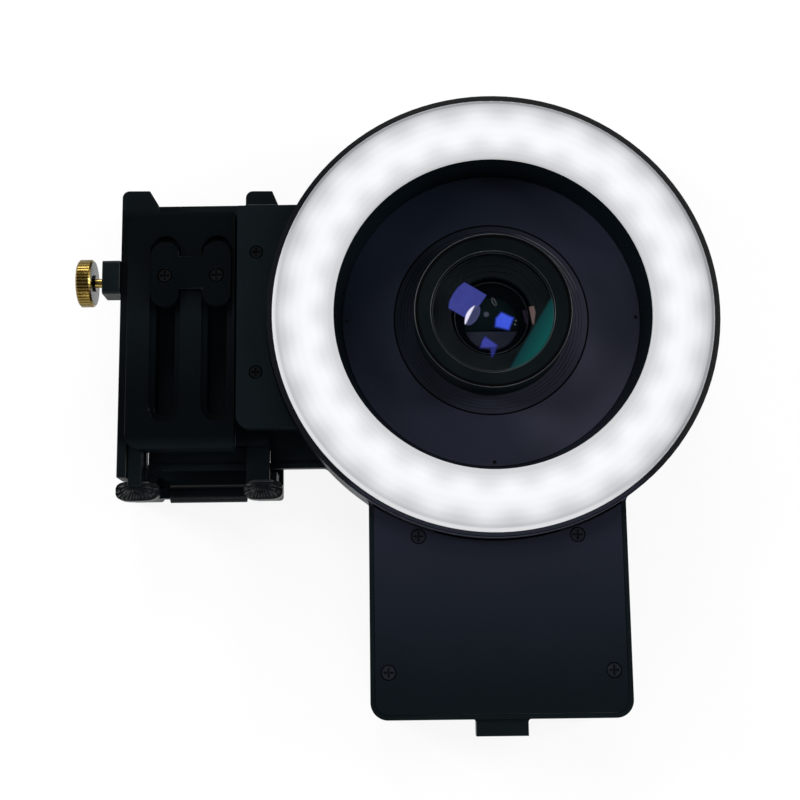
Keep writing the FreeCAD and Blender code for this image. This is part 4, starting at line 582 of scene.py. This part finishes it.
# Outlines of painted reflections: windows, a white crescent, pink and purple patches, glints.
WINDOW_A = [(-11.86, 1.06), (-11.55, 2.95), (-10.55, 4.90), (-9.25, 6.72), (-7.41, 8.16),
            (-1.54, 4.35), (-3.43, 1.64), (-7.53, -1.72)]
WINDOW_B = [(2.15, -0.32), (5.49, -1.93), (4.09, -5.29), (0.34, -4.35), (0.62, -2.0)]
WINDOW_C = [(-2.28, -6.75), (1.13, -9.26), (0.36, -10.01), (-3.73, -9.94), (-3.13, -7.97)]
WINDOW_D = [(-1.03, -9.99), (1.03, -9.36), (-0.01, -11.98), (-0.74, -12.63)]
PINK = [(9.5, 1.05), (10.91, 1.41), (11.32, -0.47), (10.76, -4.02), (10.21, -3.19)]
PURPLE = [(7.64, 0.18), (8.81, 0.19), (9.2, -3.87), (8.54, -3.54)]
CRESCENT_CUT = [(-9.0, 3.0), (-4.6, 1.95), (-6.0, -0.86), (-7.3, -3.5), (-9.0, -4.0)]
TEAL_SIDE = [(16.8, 5.9), (30.0, 5.9), (30.0, -30.0), (3.4, -30.0), (3.4, -16.2)]
OVAL, OVAL_TURN = (-5.35, -1.15), -32.0
HOOP, HOOP_TURN = (0.3, 2.43), 24.0
PAINTED_GLINTS = ((5.97, -2.71), (5.71, -3.72))
DOME_TOP = (-0.0024, -0.0022)  # metres


def painted_window_reflections(tree, x, y, grain):
    """Colour and cover of the painted reflections and glints, laid one over the other."""
    place = flat_place(tree)
    colour = None
    cover = None

    def lay(mask, paint, strength):
        nonlocal colour, cover
        mask = times(tree, mask, strength)
        colour = mix_colour(tree, mask, (0.0, 0.0, 0.0) if colour is None else colour, paint)
        cover = mask if cover is None else math_node(tree, "MAXIMUM", cover, mask)
    blue = mix_colour(tree, grain, (0.030, 0.036, 0.21), (0.048, 0.058, 0.28))
    lay(polygon(tree, place, WINDOW_A, 0.22), blue, 1.0)
    bright = mix_colour(tree, grain, (0.030, 0.060, 0.52), (0.060, 0.12, 0.85))
    lay(polygon(tree, place, WINDOW_B, 0.55), bright, 1.0)
    violet = mix_colour(tree, grain, (0.028, 0.032, 0.22), (0.055, 0.07, 0.42))
    lay(polygon(tree, place, WINDOW_C, 0.5), violet, 0.95)
    lay(polygon(tree, place, WINDOW_D, 0.4), (0.022, 0.028, 0.20), 0.9)
    oval = ellipse(tree, place, OVAL, (1.45, 2.95), 0.12, OVAL_TURN)
    wave = math_node(tree, "SINE", times(tree, plus(tree, x, times(tree, y, -0.62)), 11500.0))
    lines = map_range(tree, wave, 0.1, 0.9, smooth=True)
    lay(oval, mix_colour(tree, lines, (0.010, 0.014, 0.040), (0.13, 0.14, 0.34)), 0.9)
    oval_rim = times(tree, oval, without(tree, ellipse(tree, place, OVAL, (1.15, 2.6), 0.12, OVAL_TURN)))
    lay(oval_rim, (0.10, 0.12, 0.32), 0.35)
    round_edge = disc(tree, place, (-2.57, -2.93), 5.01, 0.15)
    crescent = times(tree, round_edge, polygon(tree, place, CRESCENT_CUT, 0.2))
    lay(crescent, (0.80, 0.76, 0.95), 1.0)
    lay(polygon(tree, place, PINK, 0.16), (0.105, 0.070, 0.068), 1.0)
    lay(polygon(tree, place, PURPLE, 0.3), (0.014, 0.008, 0.022), 0.8)
    lay(disc(tree, place, (-1.83, -0.95), 0.75, 0.3), (0.070, 0.080, 0.115), 0.8)
    hoop = times(tree, ellipse(tree, place, HOOP, (0.55, 1.25), 0.25, HOOP_TURN),
                 without(tree, ellipse(tree, place, HOOP, (0.25, 0.95), 0.25, HOOP_TURN)))
    lay(hoop, (0.075, 0.080, 0.085), 0.9)
    for glint in PAINTED_GLINTS:
        lay(disc(tree, place, glint, 0.28, 0.2), (0.16, 0.16, 0.17), 0.7)
    outward = map_range(tree, plus(tree, x, times(tree, y, -0.58)), 0.0125, 0.0185)
    teal = mix_colour(tree, outward, (0.0010, 0.0240, 0.0300), (0.0014, 0.0740, 0.0700))
    teal_side = polygon(tree, place, TEAL_SIDE, 0.5)
    lay(times(tree, teal_side, disc(tree, place, (0.0, 0.0), 16.35, 0.12)), teal, 0.97)
    return colour, cover


def front_glass_painted_reflections():
    """Clear front element with painted reflections: blue, violet and teal patches for mirrored windows."""
    material, tree, out = new_tree("front_glass_painted_reflections")
    x, y, z = split(tree, object_place(tree))
    top = map_range(tree, z, *DOME_TOP)
    grain = noise(tree, object_place(tree), 420.0, 3.0, 0.6)
    colour, cover = painted_window_reflections(tree, x, y, grain)
    # The painted reflections glow.
    painted_reflection = tree.nodes.new("ShaderNodeBsdfPrincipled")
    painted_reflection.inputs["Base Color"].default_value = (0.0, 0.0, 0.0, 1.0)
    painted_reflection.inputs["Roughness"].default_value = 0.18
    painted_reflection.inputs["Specular IOR Level"].default_value = 0.2
    painted_reflection.inputs["Emission Strength"].default_value = 1.0
    tree.links.new(colour, painted_reflection.inputs["Emission Color"])
    clear = tree.nodes.new("ShaderNodeBsdfTransparent")
    clear.inputs[0].default_value = (0.96, 0.98, 0.98, 1.0)
    sheen = tree.nodes.new("ShaderNodeBsdfGlossy")
    sheen.inputs["Roughness"].default_value = 0.08
    tree.links.new(mix_colour(tree, grain, (0.35, 0.55, 0.60), (0.30, 0.45, 0.70)), sheen.inputs["Color"])
    fresnel = tree.nodes.new("ShaderNodeFresnel")
    fresnel.inputs["IOR"].default_value = 1.16
    inside = tree.nodes.new("ShaderNodeNewGeometry").outputs["Backfacing"]
    sheen_share = times(tree, fresnel.outputs[0], top, without(tree, inside))
    glass = mix_shader(tree, sheen_share, clear.outputs[0], sheen.outputs[0])
    surface = mix_shader(tree, times(tree, cover, top), glass, painted_reflection.outputs[0])
    tree.links.new(surface, out.inputs["Surface"])
    return material


# The painted reflection of the room in the inner element, in millimetres.
ROOM_VIEW = (-0.1, -1.68)
GROUND_SIDE = [(-20.0, -3.7), (20.0, -3.85), (20.0, -20.0), (-20.0, -20.0)]
HORIZON = [(-20.0, -3.35), (20.0, -3.5), (20.0, -3.95), (-20.0, -3.8)]


def inner_glass_shade_and_room():
    """Thick inner element, with painted shade for the depth of the lens and a faint painted reflection of
    the room in it.
    """
    material, tree, out = new_tree("inner_glass_shade_and_room")
    place = flat_place(tree)
    shader = principled(tree, out, 0.12, Specular_IOR_Level=0.03)
    cloud = noise(tree, object_place(tree), 260.0, 3.0)
    inner = disc(tree, place, ROOM_VIEW, 7.15, 0.25)
    below = polygon(tree, place, GROUND_SIDE, 0.12)
    horizon = polygon(tree, place, HORIZON, 0.12)
    room = mix_colour(tree, cloud, (0.0018, 0.0055, 0.0062), (0.0045, 0.0090, 0.0100))
    ground = mix_colour(tree, cloud, (0.019, 0.021, 0.030), (0.033, 0.036, 0.052))
    room_reflection = mix_colour(tree, inner, (0.0003, 0.0011, 0.0020), mix_colour(tree, below, room, ground))
    dress(tree, shader, mix_colour(tree, times(tree, horizon, inner), room_reflection, (0.0004, 0.0008, 0.0014)))
    return material


def rear_coating():
    """Rear element, bluer toward its edge."""
    material, tree, out = new_tree("rear_coating")
    shader = principled(tree, out, 0.06, Specular_IOR_Level=0.5)
    place = object_place(tree)
    x, y = split(tree, place)[:2]
    cloud = times(tree, noise(tree, place, 180.0, 2.0), 0.25)
    tone = plus(tree, map_range(tree, distance(tree, x, y), 0.004, 0.0155), cloud)
    colour = mix_colour(tree, tone, (0.0012, 0.0030, 0.0060), (0.012, 0.020, 0.060))
    dress(tree, shader, colour, normal=bump(tree, noise(tree, place, 900.0), 0.000002))
    return material


nodes["front_glass"].data.materials[0] = front_glass_painted_reflections()
nodes["rear_glass"].data.materials[0] = rear_coating()


# New pieces

def new_piece(name, vertices, faces, material):
    """Smooth object whose faces all look outward."""
    mesh = bpy.data.meshes.new(name)
    mesh.from_pydata(vertices, [], faces)
    mesh.update()
    work = bmesh.new()
    work.from_mesh(mesh)
    bmesh.ops.recalc_face_normals(work, faces=work.faces)
    for face in work.faces:
        face.smooth = True
    work.to_mesh(mesh)
    work.free()
    mesh.materials.append(material)
    piece = bpy.data.objects.new(name, mesh)
    bpy.context.collection.objects.link(piece)
    return piece


# Rubber boots of the jaw

def smooth_step(value, low, high):
    share = min(1.0, max(0.0, (value - low) / (high - low)))
    return share * share * (3.0 - 2.0 * share)


BOOT_AROUND, BOOT_RINGS, BOOT_RIBS = 240, 16, 26
OUTLINE_POWERS, HALVINGS = (3.6, 2.8), 40
RIB_HEIGHT, CROWN_HEIGHT = 0.26 * MM, 1.25 * MM
BOOT_RIM_ANGLE = math.radians(50.0)


def ribbed_boot(name, node, fan):
    """Rubber boot with ribs that fan out from its upper edge. It fills the box of the plain one.

    fan is the fan's centre, as shares of that box.
    """
    low, high = (Vector(corner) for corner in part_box(node))
    middle = (low + high) / 2
    half = (high - low) / 2
    centre = Vector((low.x + fan[0] * (high.x - low.x), low.y + fan[1] * (high.y - low.y)))
    turns = [2 * math.pi * k / BOOT_AROUND for k in range(BOOT_AROUND)]

    def reach(turn):
        """Distance from the fan's centre to the rounded outline in one direction, found by halving."""
        inner, outer = 0.0, 4 * half.length
        for _ in range(HALVINGS):
            away = (inner + outer) / 2
            x = (centre.x + away * math.cos(turn) - middle.x) / half.x
            y = (centre.y + away * math.sin(turn) - middle.y) / half.y
            if abs(x) ** OUTLINE_POWERS[0] + abs(y) ** OUTLINE_POWERS[1] < 1.0:
                inner = away
            else:
                outer = away
        return inner
    reaches = [reach(turn) for turn in turns]
    vertices = [(centre.x, centre.y, high.z)]
    for ring in range(1, BOOT_RINGS + 1):
        share = ring / BOOT_RINGS
        for turn, limit in zip(turns, reaches):
            away = limit * share
            down = smooth_step(-math.sin(turn), -0.25, 0.30)
            wave = abs(math.sin(0.5 * BOOT_RIBS * turn))
            rib = RIB_HEIGHT * down * smooth_step(share, 0.22, 0.6) * (1.0 - wave)
            crown = CROWN_HEIGHT * smooth_step(share, 0.35, 1.0) ** 1.5 * (0.35 + 0.65 * down)
            vertices.append((centre.x + away * math.cos(turn), centre.y + away * math.sin(turn),
                             high.z - crown - rib))
    vertices.extend([(x, y, low.z) for x, y, _ in vertices[-BOOT_AROUND:]])
    vertices.append((middle.x, middle.y, low.z))
    faces = [(0, 1 + k, 1 + (k + 1) % BOOT_AROUND) for k in range(BOOT_AROUND)]
    for ring in range(BOOT_RINGS):
        a = 1 + ring * BOOT_AROUND
        for k in range(BOOT_AROUND):
            n = (k + 1) % BOOT_AROUND
            faces.append((a + k, a + BOOT_AROUND + k, a + BOOT_AROUND + n, a + n))
    last = 1 + BOOT_RINGS * BOOT_AROUND
    faces.extend((last + (k + 1) % BOOT_AROUND, last + k, len(vertices) - 1) for k in range(BOOT_AROUND))
    piece = new_piece(name, vertices, faces, BOOT)
    sharp = piece.modifiers.new("rims", "EDGE_SPLIT")
    sharp.split_angle = BOOT_RIM_ANGLE
    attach(piece, "jaw")
    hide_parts(node)


ribbed_boot("boot_left", "lower_boot_left", (0.50, 0.80))
ribbed_boot("boot_right", "lower_boot_right", (0.46, 0.80))


# New pieces of the lens. All are round, and their sizes are in millimetres.

LATHE_STEPS, DOME_RINGS = 192, 14


def lathe(name, profile, body, material, closed=True):
    """Ring or cap of revolution round the optical axis. The profile is a list of (radius, height)."""
    vertices = []
    rings = []
    for radius, height in profile:
        count = LATHE_STEPS if radius > 0.0 else 1
        rings.append((len(vertices), count))
        for k in range(count):
            turn = 2 * math.pi * k / LATHE_STEPS
            vertices.append((radius * MM * math.cos(turn), radius * MM * math.sin(turn), height * MM))
    pairs = list(zip(rings, rings[1:]))
    if closed:
        pairs.append((rings[-1], rings[0]))
    faces = []
    for (start_a, count_a), (start_b, count_b) in pairs:
        for k in range(LATHE_STEPS):
            n = (k + 1) % LATHE_STEPS
            low = [start_a + k, start_a + n] if count_a > 1 else [start_a]
            high = [start_b + n, start_b + k] if count_b > 1 else [start_b]
            if len(low) + len(high) > 2:
                faces.append(low + high)
    piece = new_piece(name, vertices, faces, material)
    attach(piece, body)
    return piece


def bead(name, radius, height, width, body, material):
    """Thin half-round bead, as a machined edge shows."""
    half = width / 2
    slant = 0.7 * half
    profile = [(radius - half, height), (radius - slant, height + slant), (radius, height + half),
               (radius + slant, height + slant), (radius + half, height), (radius, height - half)]
    return lathe(name, profile, body, material)


def cap(name, reach, middle, edge, depth, body, material):
    """Domed glass element over a flat back."""
    profile = [(reach * k / DOME_RINGS, middle - (middle - edge) * (k / DOME_RINGS) ** 2)
               for k in range(DOME_RINGS + 1)]
    profile.extend([(reach, edge - depth), (0.0, edge - depth)])
    return lathe(name, profile, body, material, closed=False)


THREAD_LIT_FROM = math.radians(46.0)


def threads_with_painted_highlight():
    """Fine turned threads on the flange, in its tones and painted light, with a painted highlight on one
    side only.
    """
    material, tree, out = new_tree("thread_lines")
    shader = principled(tree, out, 0.4, Specular_IOR_Level=0.05)
    place = object_place(tree)
    x, y = split(tree, place)[:2]
    toward = math_node(tree, "COSINE", minus(tree, math_node(tree, "ARCTAN2", y, x), THREAD_LIT_FROM))
    # Painted highlight on the side toward THREAD_LIT_FROM.
    bright = map_range(tree, toward, 0.84, 0.985, smooth=True)
    along = weighted(tree, (x, FLANGE_LIT[0]), (y, FLANGE_LIT[1]))
    # The same painted light as the flange.
    lighter = map_range(tree, along, -0.024, 0.024)
    base = mix_colour(tree, lighter, (0.0016, 0.0040, 0.0074), (0.0262, 0.0284, 0.0426))
    grain = noise(tree, place, 700.0, 2.0)
    lit = mix_colour(tree, grain, (0.060, 0.063, 0.070), (0.125, 0.130, 0.142))
    dress(tree, shader, mix_colour(tree, bright, base, lit))
    return material


cap("inner_element", 12.0, -7.75, -8.9, 0.5, "lens", inner_glass_shade_and_room())
bead("flange_gap", 26.25, -9.52, 0.42, "head", GAP_AND_SHADE_BLACK)
THREAD = threads_with_painted_highlight()
THREAD_COUNT, THREAD_START, THREAD_PITCH = 4, 22.1, 0.85
for index in range(THREAD_COUNT):
    bead("thread_line_%d" % index, THREAD_START + THREAD_PITCH * index, -9.50, 0.26, "head", THREAD)
# Rim and ledge lines: beads whose lighter metal is a painted highlight.
bead("outer_rim_line", 20.78, 0.86, 0.22, "lens", RIM_HIGHLIGHT)
# Flat dark band just above the front ring: painted shade inside the outer rim.
lathe("outer_rim_painted_shade", [(19.86, 0.86), (19.92, 0.925), (20.52, 0.925), (20.58, 0.86)], "lens", GAP_AND_SHADE_BLACK)
bead("inner_rim_line", 16.55, -0.62, 0.20, "lens", RIM_HIGHLIGHT)
bead("glass_rim_line", 16.05, -1.00, 0.12, "lens", RIM_HIGHLIGHT)
bead("ledge_line", 11.72, -6.60, 0.22, "lens", FAINT_HIGHLIGHT)
bead("element_line", 9.92, -8.50, 0.24, "lens", FAINT_HIGHLIGHT)


# Foam ring on the back of the housing

def foam_finish():
    """Closed-cell foam: small round cells, a little lighter at their walls."""
    material, tree, out = new_tree("cell_foam")
    shader = principled(tree, out, 0.9, Specular_IOR_Level=0.15)
    place = object_place(tree)
    cells = tree.nodes.new("ShaderNodeTexVoronoi")
    cells.inputs["Scale"].default_value = 1900.0
    tree.links.new(place, cells.inputs["Vector"])
    wall = map_range(tree, cells.outputs["Distance"], 0.15, 0.65)
    tone = weighted(tree, (wall, 0.7), (noise(tree, place, 60.0), 0.3))
    colour = mix_colour(tree, tone, (0.006, 0.006, 0.007), (0.026, 0.026, 0.028))
    dress(tree, shader, colour, normal=bump(tree, wall, 0.00012))
    return material


FOAM_WIDTH, FOAM_ROLL = 13.0, 0.45  # millimetres


def back_pad():
    """Soft ring with rolled edges. It fills the box of the plain one."""
    low, high = (corner[2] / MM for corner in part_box("phone_pad"))
    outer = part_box("phone_pad")[1][0] / MM
    inner = outer - FOAM_WIDTH
    roll = [(FOAM_ROLL * (1 - math.cos(turn)), low + FOAM_ROLL * (1 - math.sin(turn)))
            for turn in (math.radians(22.5 * step) for step in range(1, 5))]
    profile = [(inner, high), (inner, low + FOAM_ROLL)]
    profile.extend((inner + across, height) for across, height in roll)
    profile.append(((inner + outer) / 2, low))
    profile.extend((outer - across, height) for across, height in reversed(roll))
    profile.extend([(outer, low + FOAM_ROLL), (outer, high)])
    piece = lathe("back_pad", profile, "head", foam_finish())
    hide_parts("phone_pad")


back_pad()


# Marks on the buttons: generic plus, minus and power signs. Each stroke is a list of (along, up).

MARK_RADIUS, MARK_SINK = 0.16 * MM, 0.02 * MM
LEVEL = [(-1.1, 0.0), (1.1, 0.0)]
UPRIGHT = [(0.0, -1.1), (0.0, 1.1)]
OPEN_RING = [(1.05 * math.sin(math.radians(turn)), 1.05 * math.cos(math.radians(turn)))
             for turn in range(40, 321, 14)]
TOP_STROKE = [(0.0, 0.25), (0.0, 1.25)]


def raised_mark(name, node, body, strokes):
    """Half-round raised lines on a button's face."""
    low, high = (Vector(corner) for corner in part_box(node))
    middle = (low + high) / 2
    data = bpy.data.curves.new(name, "CURVE")
    data.dimensions = "3D"
    data.bevel_depth = MARK_RADIUS
    data.bevel_resolution = 3
    data.use_fill_caps = True
    for stroke in strokes:
        line = data.splines.new("POLY")
        line.points.add(len(stroke) - 1)
        for point, (along, up) in zip(line.points, stroke):
            point.co = (high.x - MARK_SINK, middle.y + along * MM, middle.z + up * MM, 1.0)
    data.materials.append(MARK)
    piece = bpy.data.objects.new(name, data)
    bpy.context.collection.objects.link(piece)
    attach(piece, body)


raised_mark("plus_mark", "plus_button", "plus", [LEVEL, UPRIGHT])
raised_mark("minus_mark", "minus_button", "minus", [LEVEL])
raised_mark("power_mark", "power_button", "power", [OPEN_RING, TOP_STROKE])


# Floor and lights

FLOOR_PROFILE = [(1.6, 0.0), (1.9, 0.03), (2.15, 0.12), (2.35, 0.28), (2.48, 0.50), (2.55, 0.80),
                 (2.58, 1.30)]
FLOOR_STEPS = 64
FLOOR_GLOW = 0.88  # share of plain white in what the camera sees


def floor_finish():
    """Pale paper that the camera and mirrors see almost white, and that is clear from below."""
    material, tree, out = new_tree("pale_floor")
    paper = principled(tree, out, 0.8, Specular_IOR_Level=0.1)
    cloud = noise(tree, object_place(tree), 8.0, 3.0)
    dress(tree, paper, mix_colour(tree, cloud, (0.86, 0.86, 0.86), (0.90, 0.90, 0.90)))
    white = tree.nodes.new("ShaderNodeEmission")
    white.inputs["Color"].default_value = (1.0, 1.0, 1.0, 1.0)
    white.inputs["Strength"].default_value = 1.0
    path = tree.nodes.new("ShaderNodeLightPath")
    mirrored = math_node(tree, "MAXIMUM", path.outputs["Is Glossy Ray"], path.outputs["Is Transmission Ray"])
    seen = math_node(tree, "MAXIMUM", path.outputs["Is Camera Ray"], mirrored)
    top = mix_shader(tree, times(tree, seen, FLOOR_GLOW), paper.outputs[0], white.outputs[0])
    from_below = tree.nodes.new("ShaderNodeNewGeometry").outputs["Backfacing"]
    clear = tree.nodes.new("ShaderNodeBsdfTransparent").outputs[0]
    tree.links.new(mix_shader(tree, from_below, top, clear), out.inputs["Surface"])
    return material


def make_floor():
    """Flat studio floor whose far edge curves up all round, as a paper sweep does."""
    low = cad_box[0][2]
    vertices = [(0.0, 0.0, low)]
    for radius, height in FLOOR_PROFILE:
        for k in range(FLOOR_STEPS):
            turn = 2 * math.pi * k / FLOOR_STEPS
            vertices.append((radius * math.cos(turn), radius * math.sin(turn), low + height))
    faces = [(0, 1 + k, 1 + (k + 1) % FLOOR_STEPS) for k in range(FLOOR_STEPS)]
    for ring in range(len(FLOOR_PROFILE) - 1):
        a = 1 + ring * FLOOR_STEPS
        for k in range(FLOOR_STEPS):
            n = (k + 1) % FLOOR_STEPS
            faces.append((a + k, a + FLOOR_STEPS + k, a + FLOOR_STEPS + n, a + n))
    mesh = bpy.data.meshes.new("floor")
    mesh.from_pydata(vertices, [], faces)
    mesh.polygons.foreach_set("use_smooth", [True] * len(faces))
    mesh.materials.append(floor_finish())
    floor = bpy.data.objects.new("floor", mesh)
    bpy.context.collection.objects.link(floor)


def area_lamp(name, place, aim, width, height, power):
    lamp = bpy.data.lights.new(name, "AREA")
    lamp.shape = "RECTANGLE"
    lamp.size = width
    lamp.size_y = height
    lamp.energy = power
    holder = bpy.data.objects.new(name, lamp)
    bpy.context.collection.objects.link(holder)
    holder.location = place
    holder.rotation_euler = (Vector(aim) - Vector(place)).to_track_quat("-Z", "Y").to_euler()


LAMPS = [  # name, place, aim, width, height, watts
    ("left_softbox", (-0.95, 0.30, 0.42), (-0.03, -0.02, 0.0), 0.30, 0.5, 9.5),
    ("right_softbox", (0.95, 0.15, 0.42), (-0.02, -0.03, 0.0), 0.30, 0.5, 8.5),
    ("front_softbox", (0.05, -1.00, 0.36), (-0.02, -0.03, 0.0), 0.5, 0.3, 7.0),
    ("back_softbox", (-0.10, 0.98, 0.46), (-0.02, -0.03, 0.0), 0.5, 0.3, 7.5)]

make_floor()
for lamp in LAMPS:
    area_lamp(*lamp)

world = bpy.data.worlds.new("studio")
bpy.context.scene.world = world
world.use_nodes = True
sky = world.node_tree.nodes["Background"]
sky.inputs["Color"].default_value = (1.0, 1.0, 1.0, 1.0)
sky.inputs["Strength"].default_value = 0.25
bpy.context.scene.view_settings.view_transform = "Standard"


# Camera, solved from the picture: elevation, azimuth and roll in degrees, then millimetres

ELEVATION, AZIMUTH, ROLL = 79.544, 1.175, -0.712
CAMERA_DISTANCE = 377.96
TARGET = Vector((-24.927, -23.732, 0.0))
FOCAL, SENSOR = 65.04, 36.0


def make_camera():
    el, az, roll = (math.radians(v) for v in (ELEVATION, AZIMUTH, ROLL))
    away = Vector((math.cos(el) * math.sin(az), -math.cos(el) * math.cos(az), math.sin(el)))
    right = (-away).cross(Vector((0.0, 1.0, 0.0))).normalized()
    up = right.cross(-away)
    right, up = math.cos(roll) * right + math.sin(roll) * up, math.cos(roll) * up - math.sin(roll) * right
    data = bpy.data.cameras.new("camera")
    data.lens = FOCAL
    data.sensor_width = SENSOR
    data.clip_start = 0.01
    data.clip_end = 20.0
    camera = bpy.data.objects.new("camera", data)
    bpy.context.collection.objects.link(camera)
    turn = Matrix((right, up, away)).transposed().to_4x4()
    camera.matrix_world = Matrix.Translation((TARGET + CAMERA_DISTANCE * away) * MM) @ turn
    bpy.context.scene.camera = camera


make_camera()
